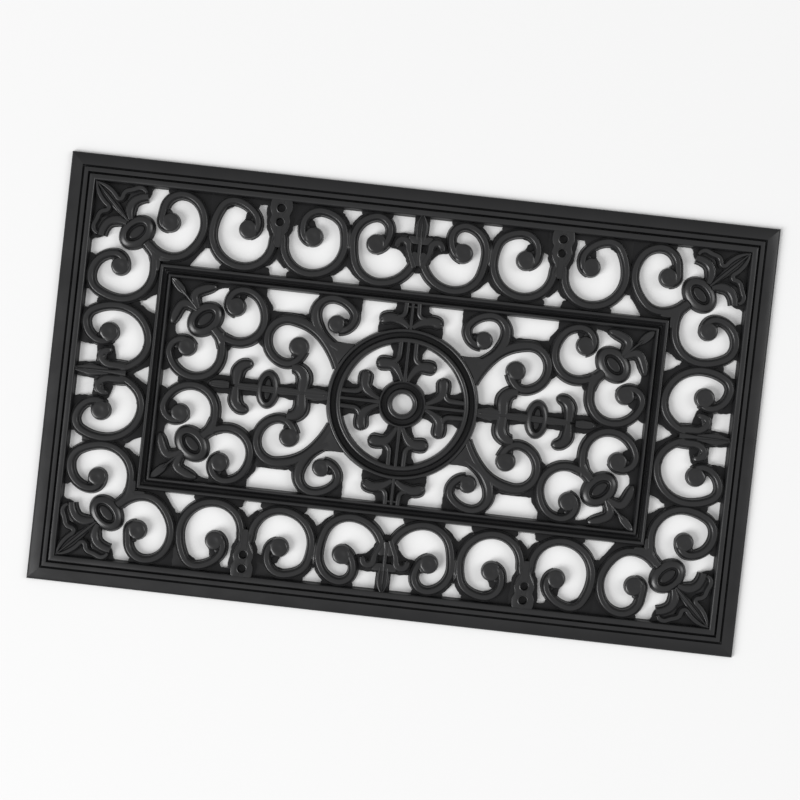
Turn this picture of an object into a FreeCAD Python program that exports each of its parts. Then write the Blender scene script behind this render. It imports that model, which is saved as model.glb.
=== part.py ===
"""Moulded rubber scrollwork doormat, in millimetres.

The mat lies flat on z = 0 with its long side along X and its centre at the origin.
The openwork pattern is the same in all four quarters, so every place below is read
in the back left quarter (x < 0, y > 0) and mirrored into the other three.
"""
import FreeCAD
import Part
import math
import os
from collections import namedtuple

Vector = FreeCAD.Vector
ORIGIN = Vector(0, 0, 0)
UP = Vector(0, 0, 1)
ALONG_X = Vector(1, 0, 0)
ALONG_Y = Vector(0, 1, 0)

# Overall size
MAT_LENGTH = 760.0
MAT_WIDTH = 460.0
MAT_HEIGHT = 9.0
CORNER_RADIUS = 3.5

# Border frame: distance in from the outer edge, then height
BORDER_PROFILE = [
    (0.0, 0.0), (0.0, 3.2), (1.6, 4.6), (13.2, 6.2), (13.8, 5.0), (14.4, 5.0), (15.2, 7.0),
    (20.0, 7.6), (20.6, 6.0), (21.2, 6.0), (22.4, 8.6), (23.6, 9.0), (27.2, 9.0), (29.0, 6.8), (29.0, 0.0),
]

# Breadth from the outer edge to the panel frame, on the short sides and on the long sides
SIDE_BAND = 107.0
BACK_BAND = 109.0

# Panel frame: distance in from its outer edge, then height
PANEL_PROFILE = [
    (0.0, 0.0), (0.0, 5.5), (1.2, 8.2), (2.8, 8.2), (4.0, 5.6), (5.0, 5.6), (6.0, 7.6), (8.2, 7.6),
    (9.0, 5.6), (10.0, 5.6), (11.0, 8.4), (12.4, 8.4), (13.5, 6.0), (13.5, 0.0),
]

# Bars of the scrolls and the thin sheets between them, which spread beyond their drawn outlines
BAR_HALF_WIDTH = 5.3
TURN_TOLERANCE = math.radians(0.1)
BAR_HEIGHT = 8.2
WEB_HEIGHT = 3.0
WEB_SPREAD = 1.2

Scroll = namedtuple("Scroll", "start aim line eye eye_radius webs cell")
Petal = namedtuple("Petal", "start aim line half_width")
Fleur = namedtuple("Fleur", "collar collar_radii spear_tip spear_half_width stem petal webs")
Layout = namedtuple("Layout", "x_limits y_limits")

# Border scrolls: the centreline starts at a point, aimed in degrees, and runs through
# the points of its line in arcs that are tangent to each other; the webs are the thin
# sheets of rubber that tie it to its neighbours, with their inner edges under the bar;
# the cell is the rectangle that the scroll keeps within
CORNER_LONG = Scroll(
    start=(-288.0, 140.0), aim=-45.0,
    line=[(-264.5, 128.0), (-240.5, 139.2), (-230.4, 160.0), (-230.8, 180.0), (-252.0, 197.0),
          (-275.3, 180.0), (-277.0, 168.0), (-269.0, 159.8)],
    eye=(-267.6, 165.6), eye_radius=10.4,
    webs=[[(-272.0, 201.0), (-272.0, 197.0), (-252.0, 196.0), (-236.0, 186.0), (-231.0, 165.0),
           (-231.0, 148.0), (-226.0, 142.0), (-226.0, 201.0)],
          [(-271.0, 121.0), (-271.0, 125.0), (-257.0, 129.0), (-240.5, 139.0), (-232.0, 150.0),
           (-228.0, 143.0), (-234.0, 134.0), (-243.0, 121.0)]],
    cell=(-351.0, 121.0, -226.0, 201.0))
CLASP_OUTER = Scroll(
    start=(-155.6, 172.0), aim=-90.0,
    line=[(-155.8, 156.0), (-184.0, 126.2), (-222.2, 163.0), (-214.4, 188.8), (-198.5, 196.2),
          (-177.0, 183.0), (-174.4, 170.0), (-182.0, 161.8)],
    eye=(-184.5, 168.0), eye_radius=10.2,
    webs=[[(-226.0, 201.0), (-226.0, 142.0), (-221.5, 150.0), (-221.5, 167.0), (-212.0, 188.0),
           (-198.5, 195.6), (-184.0, 192.0), (-176.0, 195.0), (-163.0, 195.0), (-163.0, 201.0)],
          [(-209.0, 121.0), (-209.0, 125.0), (-184.0, 127.0), (-161.0, 125.0), (-161.0, 121.0)]],
    cell=(-226.0, 121.0, -151.0, 201.0))
CLASP_INNER = Scroll(
    start=(-145.6, 172.0), aim=-90.0,
    line=[(-145.4, 157.0), (-115.0, 126.8), (-79.2, 163.0), (-81.8, 180.0), (-90.2, 189.6),
          (-104.0, 194.8), (-126.0, 180.0), (-125.5, 170.0), (-117.0, 161.8)],
    eye=(-115.0, 167.5), eye_radius=10.3,
    webs=[[(-139.0, 201.0), (-139.0, 180.0), (-127.0, 180.0), (-124.0, 187.0), (-104.0, 195.0),
           (-92.0, 192.5), (-86.0, 197.0), (-86.0, 201.0)],
          [(-125.0, 171.0), (-121.0, 187.0), (-114.5, 188.0), (-114.5, 172.0)],
          [(-76.0, 186.0), (-80.5, 180.0), (-80.5, 155.0), (-76.0, 148.0)],
          [(-137.0, 121.0), (-137.0, 125.0), (-115.0, 127.0), (-90.0, 125.0), (-90.0, 121.0)]],
    cell=(-151.0, 121.0, -76.0, 201.0))
CENTRE = Scroll(
    start=(-4.5, 152.0), aim=-107.0,
    line=[(-40.0, 125.6), (-68.6, 147.0), (-71.8, 168.0), (-65.2, 187.0), (-50.0, 196.0), (-32.7, 181.0),
          (-37.0, 167.5), (-46.0, 161.2)],
    eye=(-46.6, 166.8), eye_radius=10.4,
    webs=[[(-76.0, 148.0), (-71.5, 155.0), (-70.5, 176.0), (-76.0, 186.0)],
          [(-64.0, 201.0), (-64.0, 197.0), (-50.0, 197.0), (-33.0, 197.5), (-33.0, 201.0)],
          [(-60.0, 121.0), (-60.0, 125.0), (-40.0, 127.0), (-16.0, 125.0), (-16.0, 121.0)]],
    cell=(-76.0, 121.0, 0.0, 201.0))
CORNER_SHORT = Scroll(
    start=(-282.0, 134.0), aim=-75.0,
    line=[(-279.0, 112.0), (-317.0, 78.4), (-339.4, 86.8), (-345.8, 103.0), (-338.0, 120.5), (-323.0, 126.3),
          (-311.2, 117.0), (-311.0, 111.0)],
    eye=(-315.5, 113.6), eye_radius=10.2,
    webs=[[(-351.0, 86.0), (-345.0, 94.0), (-345.0, 112.0), (-347.0, 123.0), (-351.0, 123.0)],
          [(-337.0, 75.0), (-333.0, 81.0), (-316.0, 79.0), (-297.0, 81.0), (-290.0, 75.0)],
          [(-273.0, 88.0), (-279.5, 97.0), (-279.0, 121.0), (-273.0, 121.0)]],
    cell=(-351.0, 75.0, -273.0, 201.0))
SIDE = Scroll(
    start=(-303.0, 4.6), aim=14.0,
    line=[(-283.6, 16.4), (-276.6, 38.0), (-286.0, 59.0), (-313.0, 71.4), (-339.0, 65.0),
          (-346.0, 50.0), (-337.5, 35.8), (-327.0, 31.6), (-317.5, 36.0)],
    eye=(-320.0, 42.0), eye_radius=10.6,
    webs=[[(-351.0, 30.0), (-342.0, 35.0), (-346.0, 50.0), (-343.0, 60.0), (-351.0, 66.0)],
          [(-337.0, 75.0), (-333.0, 69.0), (-313.0, 71.0), (-297.0, 69.0), (-290.0, 75.0)],
          [(-273.0, 66.0), (-281.0, 56.0), (-277.0, 43.0), (-279.5, 22.0), (-273.0, 10.0)]],
    cell=(-351.0, 0.0, -273.0, 75.0))

# Panel scrolls
PANEL_CELL = (-259.5, 0.0, 0.0, 107.5)
SPRAY_LONG = Scroll(
    start=(-208.0, 58.0), aim=-50.0,
    line=[(-184.0, 45.8), (-155.3, 76.0), (-162.0, 93.0), (-180.0, 102.5), (-196.0, 88.0),
          (-187.5, 77.0)],
    eye=(-188.0, 84.0), eye_radius=10.4,
    webs=[[(-157.5, 107.5), (-157.5, 98.0), (-166.0, 96.5), (-180.0, 103.0), (-191.0, 97.0),
           (-197.5, 100.0), (-197.5, 107.5)],
          [(-193.0, 92.0), (-186.0, 100.0), (-178.0, 98.0), (-182.0, 88.0)]],
    cell=PANEL_CELL)
SPRAY_SHORT = Scroll(
    start=(-200.0, 54.0), aim=-75.0,
    line=[(-197.4, 30.0), (-228.0, 4.2), (-253.5, 26.0), (-242.0, 43.3), (-229.5, 36.5)],
    eye=(-235.5, 36.0), eye_radius=10.3,
    webs=[[(-259.5, 8.0), (-251.0, 15.0), (-253.5, 26.0), (-251.0, 37.0), (-243.0, 43.0),
           (-251.0, 50.0), (-251.0, 60.0), (-259.5, 60.0)],
          [(-250.0, 19.0), (-253.0, 30.0), (-247.0, 41.0), (-238.0, 38.0), (-240.0, 26.0)],
          [(-243.0, 0.0), (-238.0, 5.0), (-228.0, 4.0), (-214.0, 7.0), (-206.0, 0.0)],
          [(-188.0, 45.0), (-198.0, 45.0), (-196.0, 32.0), (-190.5, 38.0)]],
    cell=PANEL_CELL)
BRANCH_OUTER = Scroll(
    start=(-74.5, 36.0), aim=118.0,
    line=[(-91.0, 59.8), (-127.0, 77.4), (-151.3, 56.0), (-131.0, 29.6), (-116.5, 34.5),
          (-110.6, 45.0)],
    eye=(-116.5, 48.5), eye_radius=10.5,
    webs=[[(-150.0, 82.0), (-154.0, 62.0), (-150.0, 62.0), (-142.0, 73.0), (-138.0, 79.0)],
          [(-160.0, 48.0), (-156.0, 62.0), (-151.0, 58.0), (-150.0, 43.0), (-155.0, 43.0)]],
    cell=PANEL_CELL)
BRANCH_INNER = Scroll(
    start=(-74.0, 51.0), aim=152.0,
    line=[(-90.0, 61.2), (-102.0, 83.0), (-78.5, 104.8), (-59.2, 88.0), (-67.0, 74.5),
          (-76.0, 71.0)],
    eye=(-78.0, 77.5), eye_radius=10.2,
    webs=[[(-100.0, 107.5), (-100.0, 98.0), (-92.0, 98.0), (-80.0, 103.0), (-64.0, 97.0),
           (-60.0, 88.0), (-54.5, 91.0), (-54.5, 107.5)],
          [(-97.0, 63.0), (-84.0, 47.0), (-77.0, 34.0), (-55.0, 50.0), (-58.0, 60.0), (-64.0, 57.0),
           (-75.0, 59.0), (-88.0, 62.0)],
          [(-118.0, 80.0), (-104.0, 72.0), (-102.0, 90.0), (-109.0, 88.0)],
          [(-74.0, 85.0), (-63.0, 86.0), (-62.0, 80.0), (-76.0, 76.0)]],
    cell=PANEL_CELL)

# Corner fleurs: a collar with a sunk oval, a spear that points out along the diagonal
# and a pair of curled petals beside it; the stem runs to where the two scrolls part
BORDER_FLEUR = Fleur(
    collar=(-302.0, 152.0), collar_radii=(20.5, 15.6), spear_tip=(-350.4, 200.4), spear_half_width=8.4,
    stem=Petal(start=(-302.0, 152.0), aim=-45.0, line=[(-285.0, 135.0)], half_width=6.4),
    petal=Petal(start=(-311.5, 163.0), aim=92.0, line=[(-313.5, 181.0), (-298.5, 193.0)], half_width=6.2),
    webs=[[(-351.0, 201.0), (-322.0, 172.0), (-314.0, 172.0), (-313.5, 182.0), (-298.5, 193.0),
           (-293.0, 196.0), (-293.0, 201.0)]])
PANEL_FLEUR = Fleur(
    collar=(-219.0, 66.5), collar_radii=(21.0, 16.2), spear_tip=(-258.6, 106.1), spear_half_width=7.4,
    stem=Petal(start=(-219.0, 66.5), aim=-45.0, line=[(-200.6, 48.1)], half_width=6.4),
    petal=Petal(start=(-229.0, 79.0), aim=100.0, line=[(-231.5, 92.0), (-213.0, 101.0)], half_width=5.8),
    webs=[[(-259.5, 107.5), (-236.0, 84.0), (-229.0, 84.0), (-228.0, 95.0), (-213.0, 101.0),
           (-209.0, 107.5)]])
OUTWARD_AIM = 135.0
OVAL_FLOOR_SHARE = 0.52
OVAL_DEPTH = 2.6

# Spear: how far along it and how far across it its outline and its midrib run
SPEAR_HEIGHT = 6.4
SPEAR_ROOT_SHARE = 0.45
SPEAR_WAIST_SHARES = (0.4, 0.62)
SPEAR_WIDEST_SHARE = 0.7
SPEAR_SHOULDER_SHARES = (0.9, 0.72)
MIDRIB_ROOT_SHARE = 0.3
MIDRIB_TIP_SHARES = (0.92, 0.16)

# Clasp between two border scrolls: its rows of paired lobes, each round a blind hole, give
# the middle of the row, how far out the lobes sit, their radius and the hole's radius
CLASP_ROWS = [((-151.0, 192.5), 5.6, 8.0, 4.2), ((-151.0, 179.0), 3.6, 8.0, 3.8)]
CLASP_STEM = Petal(start=(-151.0, 201.0), aim=-90.0, line=[(-151.0, 167.0)], half_width=7.4)
CLASP_WEB = [(-166.0, 196.0), (-166.0, 184.0), (-162.5, 167.0), (-140.0, 171.0), (-136.5, 180.0),
             (-136.5, 197.0)]
HOLE_DEPTH = 4.5

# Fleurs in the middle of the long sides and of the short sides
BACK_FLEUR_STEM = Petal(start=(0.0, 201.0), aim=-90.0, line=[(0.0, 165.0)], half_width=7.4)
BACK_FLEUR_BODY = Petal(start=(0.0, 176.0), aim=-90.0, line=[(0.0, 147.0)], half_width=11.2)
BACK_FLEUR_CURL = (-17.0, 170.5)
BACK_FLEUR_WEB = [(-28.4, 181.0), (-32.0, 167.0), (32.0, 167.0), (28.4, 181.0)]
LEFT_FLEUR_STEM = Petal(start=(-351.0, 0.0), aim=0.0, line=[(-318.0, 0.0)], half_width=7.8)
LEFT_FLEUR_BODY = Petal(start=(-330.0, 0.0), aim=0.0, line=[(-298.0, 0.0)], half_width=10.2)
LEFT_FLEUR_CURL = (-320.5, 15.5)
LEFT_FLEUR_WEB = [(-331.0, -28.0), (-331.0, 28.0), (-314.5, 30.0), (-314.5, -30.0)]
CURL_RADIUS = 10.0
DIMPLE_RADIUS = 1.8

# Cross motif on the long axis of the panel, from the spear tip to the medallion
CROSS_SPEAR = Petal(start=(-201.0, 0.0), aim=0.0, line=[(-176.0, 0.0)], half_width=5.8)
CROSS_BAR = Petal(start=(-190.0, 0.0), aim=0.0, line=[(-78.0, 0.0)], half_width=5.2)
CROSS_FOOT = Petal(start=(-110.0, 0.0), aim=0.0, line=[(-78.0, 0.0)], half_width=7.8)
CROSS_HOOK = Petal(start=(-178.0, 0.0), aim=92.0, line=[(-178.0, 13.0), (-169.0, 24.0)], half_width=6.4)
CROSS_ARM = Petal(start=(-108.5, 0.0), aim=90.0, line=[(-108.5, 13.0), (-118.0, 25.5)], half_width=8.2)
CROSS_BOSS = (-145.0, 0.0)
CROSS_BOSS_RADII = (20.0, 13.4)
CROSS_DIMPLES = [(-178.0, 0.0), (-112.0, 0.0)]
CROSS_WEB = [(-207.0, -7.0), (-207.0, 7.0), (-197.0, 9.5), (-184.0, 9.5), (-184.0, -9.5), (-197.0, -9.5)]

# Medallion: distance out from the centre, then height
RING_PROFILE = [
    (66.0, 0.0), (66.0, 6.4), (67.4, 9.0), (69.2, 9.0), (71.6, 6.2), (76.2, 6.2), (77.2, 9.0),
    (78.8, 9.0), (80.0, 6.6), (80.0, 0.0),
]
HUB_PROFILE = [
    (11.0, 0.0), (11.0, 6.4), (12.4, 8.6), (15.4, 8.6), (17.0, 6.0), (21.6, 6.0), (22.8, 8.4),
    (24.2, 8.4), (25.5, 6.2), (25.5, 0.0),
]

# Palmettes: the stem, then the rib beside its upper part and the petal that leans away from
# its root, both on the left, and the web behind them
Palmette = namedtuple("Palmette", "stem rib petal web")
INNER_PALMETTE = Palmette(
    stem=Petal(start=(0.0, 14.0), aim=90.0, line=[(0.0, 79.5)], half_width=3.4),
    rib=Petal(start=(-8.2, 40.0), aim=90.0, line=[(-8.2, 79.5)], half_width=2.6),
    petal=Petal(start=(-4.0, 20.0), aim=110.0, line=[(-10.0, 36.0), (-27.5, 42.5)], half_width=6.4),
    web=[(-12.0, 14.0), (12.0, 14.0), (17.0, 46.0), (17.0, 79.5), (-17.0, 79.5), (-17.0, 46.0)])
OUTER_PALMETTE = Palmette(
    stem=Petal(start=(0.0, 66.5), aim=90.0, line=[(0.0, 107.5)], half_width=3.0),
    rib=Petal(start=(-7.2, 88.0), aim=90.0, line=[(-7.2, 107.5)], half_width=2.8),
    petal=Petal(start=(-3.0, 74.0), aim=125.0, line=[(-12.0, 86.0), (-29.0, 89.8)], half_width=6.6),
    web=[(-33.0, 70.0), (33.0, 70.0), (33.0, 86.0), (17.5, 96.0), (17.5, 107.5), (-17.5, 107.5),
         (-17.5, 96.0), (-33.0, 86.0)])

# Real limits of the border band, of the panel frame and of the field inside it
BORDER_INSIDE = BORDER_PROFILE[-1][0]
PANEL_INSIDE = PANEL_PROFILE[-1][0]
PANEL_LENGTH = MAT_LENGTH - 2 * SIDE_BAND
PANEL_WIDTH = MAT_WIDTH - 2 * BACK_BAND
BAND_LIMITS = (MAT_LENGTH / 2 - BORDER_INSIDE, MAT_WIDTH / 2 - BORDER_INSIDE)
FIELD_LIMITS = (PANEL_LENGTH / 2 - PANEL_INSIDE, PANEL_WIDTH / 2 - PANEL_INSIDE)

# Where the places above go in the real mat: pairs of a drawn and a real distance from its
# middle; the medallion grows with the width of the field and stays round
MEDALLION_SCALE = FIELD_LIMITS[1] / PANEL_CELL[3]
MEDALLION_RADIUS = RING_PROFILE[-1][0]
BAND = Layout(
    x_limits=[(0.0, 0.0), (-CORNER_SHORT.cell[2], PANEL_LENGTH / 2), (-CORNER_SHORT.cell[0], BAND_LIMITS[0])],
    y_limits=[(0.0, 0.0), (CORNER_LONG.cell[1], PANEL_WIDTH / 2), (CORNER_LONG.cell[3], BAND_LIMITS[1])])
FIELD = Layout(
    x_limits=[(0.0, 0.0), (MEDALLION_RADIUS, MEDALLION_RADIUS * MEDALLION_SCALE),
              (-PANEL_CELL[0], FIELD_LIMITS[0])],
    y_limits=[(0.0, 0.0), (PANEL_CELL[3], FIELD_LIMITS[1])])


def along_axis(limits, value):
    """Real place along one axis of a drawn place: it moves with the limits that it lies between."""
    reach = abs(value)
    for near, far in zip(limits, limits[1:]):
        if reach <= far[0]:
            break
    moved = near[1] + (reach - near[0]) * (far[1] - near[1]) / (far[0] - near[0])
    return math.copysign(moved, value)


def laid(layout, point):
    """Real place of a drawn point."""
    return along_axis(layout.x_limits, point[0]), along_axis(layout.y_limits, point[1])


def laid_line(layout, points):
    return [laid(layout, point) for point in points]


def kept_share(layout, points):
    """Share of its thickness that a piece keeps where the pattern is drawn in."""
    drawn = [Vector(*point) for point in points]
    real = [Vector(*point) for point in laid_line(layout, points)]
    steps = zip(drawn, drawn[1:], real, real[1:])
    return min([1.0] + [real_start.distanceToPoint(real_end) / drawn_start.distanceToPoint(drawn_end)
                        for drawn_start, drawn_end, real_start, real_end in steps])


def round_share(layout, centre, radius):
    """Share of its size that a round piece keeps where the pattern is drawn in."""
    x, y = centre
    return min(kept_share(layout, [(x - radius, y), (x + radius, y)]),
               kept_share(layout, [(x, y - radius), (x, y + radius)]))


def block(corners, height):
    """Upright block over a rectangle given by two opposite corners."""
    left, front, right, back = corners
    return Part.makeBox(right - left, back - front, height, Vector(left, front, 0))


def outline(points):
    """Plan face inside a closed outline of straight edges."""
    return Part.Face(Part.makePolygon([Vector(*point) for point in points + points[:1]]))


def sheet(layout, points):
    """Plan face inside a drawn outline."""
    return outline(laid_line(layout, points))


def web_sheet(layout, points):
    """Plan face of a web, spread beyond its drawn outline."""
    return sheet(layout, points).makeOffset2D(WEB_SPREAD)


def disc(layout, centre, radius):
    """Round plan face about a drawn point."""
    place = Vector(*laid(layout, centre))
    real_radius = radius * round_share(layout, centre, radius)
    return Part.Face(Part.Wire(Part.Circle(place, UP, real_radius).toShape()))


def direction(heading):
    return Vector(math.cos(heading), math.sin(heading), 0)


def arc_turn(place, heading, target):
    """Turn of the arc that leaves a point at a heading and ends in another point."""
    chord = target - place
    ahead = direction(heading)
    return 2 * math.atan2(ahead.cross(chord).z, chord.dot(ahead))


def meeting_point(place, heading, target, last_heading):
    """Where two arcs meet that leave one point and reach another at given headings."""
    chord = target - place
    leaving, arriving = direction(heading), direction(last_heading)
    spread = 2 * (1 - leaving.dot(arriving))
    along = chord.dot(leaving + arriving)
    reach = (math.sqrt(along ** 2 + spread * chord.dot(chord)) - along) / spread
    return (place + target + (leaving - arriving) * reach) / 2


def real_centreline(layout, start, aim, line):
    """Real start, heading and points of a drawn centreline.

    A drawn arc stays one arc while it keeps its shape; where the pattern is drawn in or out it
    becomes two arcs, so that the bar still follows the pattern.
    """
    def real_heading(point, heading):
        here, ahead = Vector(*laid(layout, point)), direction(heading)
        there = laid(layout, (point[0] + ahead.x, point[1] + ahead.y))
        return math.atan2(there[1] - here.y, there[0] - here.x)

    drawn_place, drawn_heading = Vector(*start), math.radians(aim)
    first_heading = real_heading(start, drawn_heading)
    place, heading = Vector(*laid(layout, start)), first_heading
    points = []
    for point in line:
        drawn_target, target = Vector(*point), Vector(*laid(layout, point))
        drawn_heading += arc_turn(drawn_place, drawn_heading, drawn_target)
        wanted = real_heading(point, drawn_heading)
        arrived = heading + arc_turn(place, heading, target)
        if abs(math.remainder(wanted - arrived, math.tau)) > TURN_TOLERANCE:
            points.append(meeting_point(place, heading, target, wanted))
            arrived = wanted
        points.append(target)
        drawn_place, place, heading = drawn_target, target, arrived
    return Vector(*laid(layout, start)), first_heading, points


def parted(line, corner):
    """The line as it is, or its two parts where it runs across the corner that it turns about."""
    ends = [vertex.Point for vertex in line.Vertexes]
    if (ends[0] - corner).dot(ends[1] - corner) > 0:
        return [line]
    return [Part.makeLine(corner, end) for end in ends]


def bar(layout, start, aim, line, half_width=BAR_HALF_WIDTH):
    """Plan faces of a bar along tangent arcs: each arc leaves as the last arrived."""
    place, heading, targets = real_centreline(layout, start, aim, line)
    real_half_width = half_width * kept_share(layout, [start] + line)
    faces = []
    for target in targets:
        side = UP.cross(direction(heading))
        chord = target - place
        across = Part.makeLine(place - side * real_half_width, place + side * real_half_width)
        turn = arc_turn(place, heading, target)
        if abs(turn) < TURN_TOLERANCE:
            faces.append(across.extrude(chord))
        else:
            corner = place + side * (chord.Length ** 2 / (2 * chord.dot(side)))
            faces += [line.revolve(corner, UP, math.degrees(turn)) for line in parted(across, corner)]
            heading += turn
        place = target
    return faces


def rounded_bar(layout, petal):
    """Plan faces of a petal: a bar whose far end is rounded."""
    share = kept_share(layout, [petal.start] + petal.line)
    return bar(layout, *petal) + [disc(layout, petal.line[-1], petal.half_width * share)]


def pad(faces, height):
    """Solid over plan faces that overlap or touch."""
    plan = faces[0].fuse(faces[1:]) if len(faces) > 1 else faces[0]
    return plan.removeSplitter().extrude(UP * height)


def stacked(solids):
    """One solid from solids of different heights, added one after another."""
    whole = solids[0]
    for solid in solids[1:]:
        whole = whole.fuse(solid)
    return whole.removeSplitter()


def mirrored(shape, normal, place=ORIGIN):
    return shape.mirror(place, normal)


def quarter_turned(shape, quarters=1):
    """Shape turned about the centre of the mat by right angles."""
    turned = shape.copy()
    turned.rotate(ORIGIN, UP, 90 * quarters)
    return turned


def scroll_plan(layout, scrolls):
    """Plan faces of the bars and eyes of scrolls, then of their webs."""
    bars = []
    webs = []
    for scroll in scrolls:
        bars += bar(layout, scroll.start, scroll.aim, scroll.line)
        bars.append(disc(layout, scroll.eye, scroll.eye_radius))
        webs += [web_sheet(layout, web) for web in scroll.webs]
    return bars, webs


def cell_block(layout, cell):
    """Block as high as the mat over a drawn cell."""
    return block(laid(layout, cell[:2]) + laid(layout, cell[2:]), MAT_HEIGHT)


def scroll_piece(layout, cell, *scrolls):
    """Scrolls that grow out of each other, kept within their cell."""
    bars, webs = scroll_plan(layout, scrolls)
    return stacked([pad(bars, BAR_HEIGHT), pad(webs, WEB_HEIGHT)]).common(cell_block(layout, cell))


def oval(layout, centre, radii, angle, level):
    """Upright oval from a level up to the mat's height, its long radius turned from X."""
    long_way = Vector(math.cos(angle), math.sin(angle), 0)
    middle = Vector(*laid(layout, centre), level)
    long_radius, short_radius = [radius * round_share(layout, centre, radii[0]) for radius in radii]
    curve = Part.Ellipse(middle + long_way * long_radius, middle + UP.cross(long_way) * short_radius, middle)
    return Part.Face(Part.Wire(curve.toShape())).extrude(UP * (MAT_HEIGHT - level))


def oval_boss(layout, centre, radii, angle):
    return oval(layout, centre, radii, angle, 0.0)


def oval_pocket(layout, centre, radii, angle):
    """Sunk oval inside the rim of a boss."""
    floor_radii = [radius * OVAL_FLOOR_SHARE for radius in radii]
    return oval(layout, centre, floor_radii, angle, MAT_HEIGHT - OVAL_DEPTH)


def spear(layout, root_place, tip_place, drawn_half_width):
    """Leaf that widens from its root and comes to a point, with a raised midrib."""
    root = Vector(*laid(layout, root_place))
    reach = Vector(*laid(layout, tip_place)) - root
    half_width = drawn_half_width * kept_share(layout, [root_place, tip_place])
    side = UP.cross(reach).normalize()

    def at(along_share, across_share):
        return root + reach * along_share + side * (half_width * across_share)

    edges = [Part.LineSegment(at(0, SPEAR_ROOT_SHARE), at(0, -SPEAR_ROOT_SHARE)).toShape()]
    for sign in (1, -1):
        waist = at(SPEAR_WAIST_SHARES[0], sign * SPEAR_WAIST_SHARES[1])
        widest = at(SPEAR_WIDEST_SHARE, sign)
        shoulder = at(SPEAR_SHOULDER_SHARES[0], sign * SPEAR_SHOULDER_SHARES[1])
        edges.append(Part.Arc(at(0, sign * SPEAR_ROOT_SHARE), waist, widest).toShape())
        edges.append(Part.Arc(widest, shoulder, at(1, 0)).toShape())
    leaf = Part.Face(Part.Wire(Part.sortEdges(edges)[0]))
    far, out = MIDRIB_TIP_SHARES
    midrib = outline([at(0, MIDRIB_ROOT_SHARE), at(far, out), at(far, -out), at(0, -MIDRIB_ROOT_SHARE)])
    return [leaf.extrude(UP * SPEAR_HEIGHT), midrib.extrude(UP * BAR_HEIGHT)]


def across_fleur(fleur, point):
    """Drawn point mirrored across the fleur's own diagonal."""
    x, y = fleur.collar
    return x - (point[1] - y), y - (point[0] - x)


def other_petal(fleur):
    """Petal on the other side of the fleur's diagonal."""
    petal = fleur.petal
    line = [across_fleur(fleur, point) for point in petal.line]
    return Petal(across_fleur(fleur, petal.start), 2 * OUTWARD_AIM - petal.aim, line, petal.half_width)


def corner_fleur(layout, fleur, cell, *scrolls):
    """Corner fleur, alike on both sides of its own diagonal, and scrolls on its stem."""
    bars, webs = scroll_plan(layout, scrolls)
    for petal in (fleur.petal, other_petal(fleur)):
        bars += rounded_bar(layout, petal)
    for web in fleur.webs:
        webs += [web_sheet(layout, web), web_sheet(layout, [across_fleur(fleur, point) for point in web])]
    bars += bar(layout, *fleur.stem)
    solids = [pad(bars, BAR_HEIGHT), pad(webs, WEB_HEIGHT)]
    solids += spear(layout, fleur.collar, fleur.spear_tip, fleur.spear_half_width)
    collar = (layout, fleur.collar, fleur.collar_radii, math.radians(OUTWARD_AIM) - math.pi / 2)
    whole = stacked(solids + [oval_boss(*collar)]).cut(oval_pocket(*collar))
    return whole.common(cell_block(layout, cell))


def frame_rail(length, width, profile):
    """Back rail of a rectangular frame, mitred at both ends."""
    points = [Vector(-length / 2, width / 2 - inward, height) for inward, height in profile]
    strip = Part.Face(Part.makePolygon(points + points[:1])).extrude(ALONG_X * length)
    inside = profile[-1][0]
    mitre = outline([(-length / 2, width / 2), (length / 2, width / 2),
                     (length / 2 - inside, width / 2 - inside),
                     (inside - length / 2, width / 2 - inside)])
    return strip.common(mitre.extrude(UP * MAT_HEIGHT))


def frame_nodes(prefix, length, width, profile):
    """Four mitred rails of one frame."""
    back = frame_rail(length, width, profile)
    left = quarter_turned(frame_rail(width, length, profile))
    return {prefix + "_back": back, prefix + "_front": mirrored(back, ALONG_Y),
            prefix + "_left": left, prefix + "_right": mirrored(left, ALONG_X)}


def rounded_plate():
    """Plan of the mat with its rounded corners, as high as the mat."""
    plate = block((-MAT_LENGTH / 2, -MAT_WIDTH / 2, MAT_LENGTH / 2, MAT_WIDTH / 2), MAT_HEIGHT)
    upright = [edge for edge in plate.Edges if edge.BoundBox.ZLength > MAT_HEIGHT / 2]
    return plate.makeFillet(CORNER_RADIUS, upright)


def sunk_hole(layout, centre, radius):
    """Round blind hole from the top of the bars down."""
    place = Vector(*laid(layout, centre), BAR_HEIGHT - HOLE_DEPTH)
    return Part.makeCylinder(radius * round_share(layout, centre, radius), MAT_HEIGHT, place)


def clasp():
    """Clasp that holds two scrolls together and hangs from the border."""
    plan = bar(BAND, *CLASP_STEM)
    holes = []
    for middle, lobe_offset, lobe_radius, hole_radius in CLASP_ROWS:
        plan += [disc(BAND, (middle[0] + side * lobe_offset, middle[1]), lobe_radius) for side in (-1, 1)]
        holes.append(sunk_hole(BAND, middle, hole_radius))
    return stacked([pad(plan, BAR_HEIGHT), pad([sheet(BAND, CLASP_WEB)], WEB_HEIGHT)]).cut(holes)


def centre_fleur(stem, body, curl, web, normal):
    """Fleur in the middle of a side, alike on both sides of the mat's own axis."""
    curls = [disc(BAND, curl, CURL_RADIUS)]
    curls += [mirrored(face, normal) for face in curls]
    dimples = [sunk_hole(BAND, curl, DIMPLE_RADIUS)]
    dimples += [mirrored(hole, normal) for hole in dimples]
    plan = bar(BAND, *stem) + bar(BAND, *body) + curls
    return stacked([pad(plan, BAR_HEIGHT), pad([sheet(BAND, web)], WEB_HEIGHT)]).cut(dimples)


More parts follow.
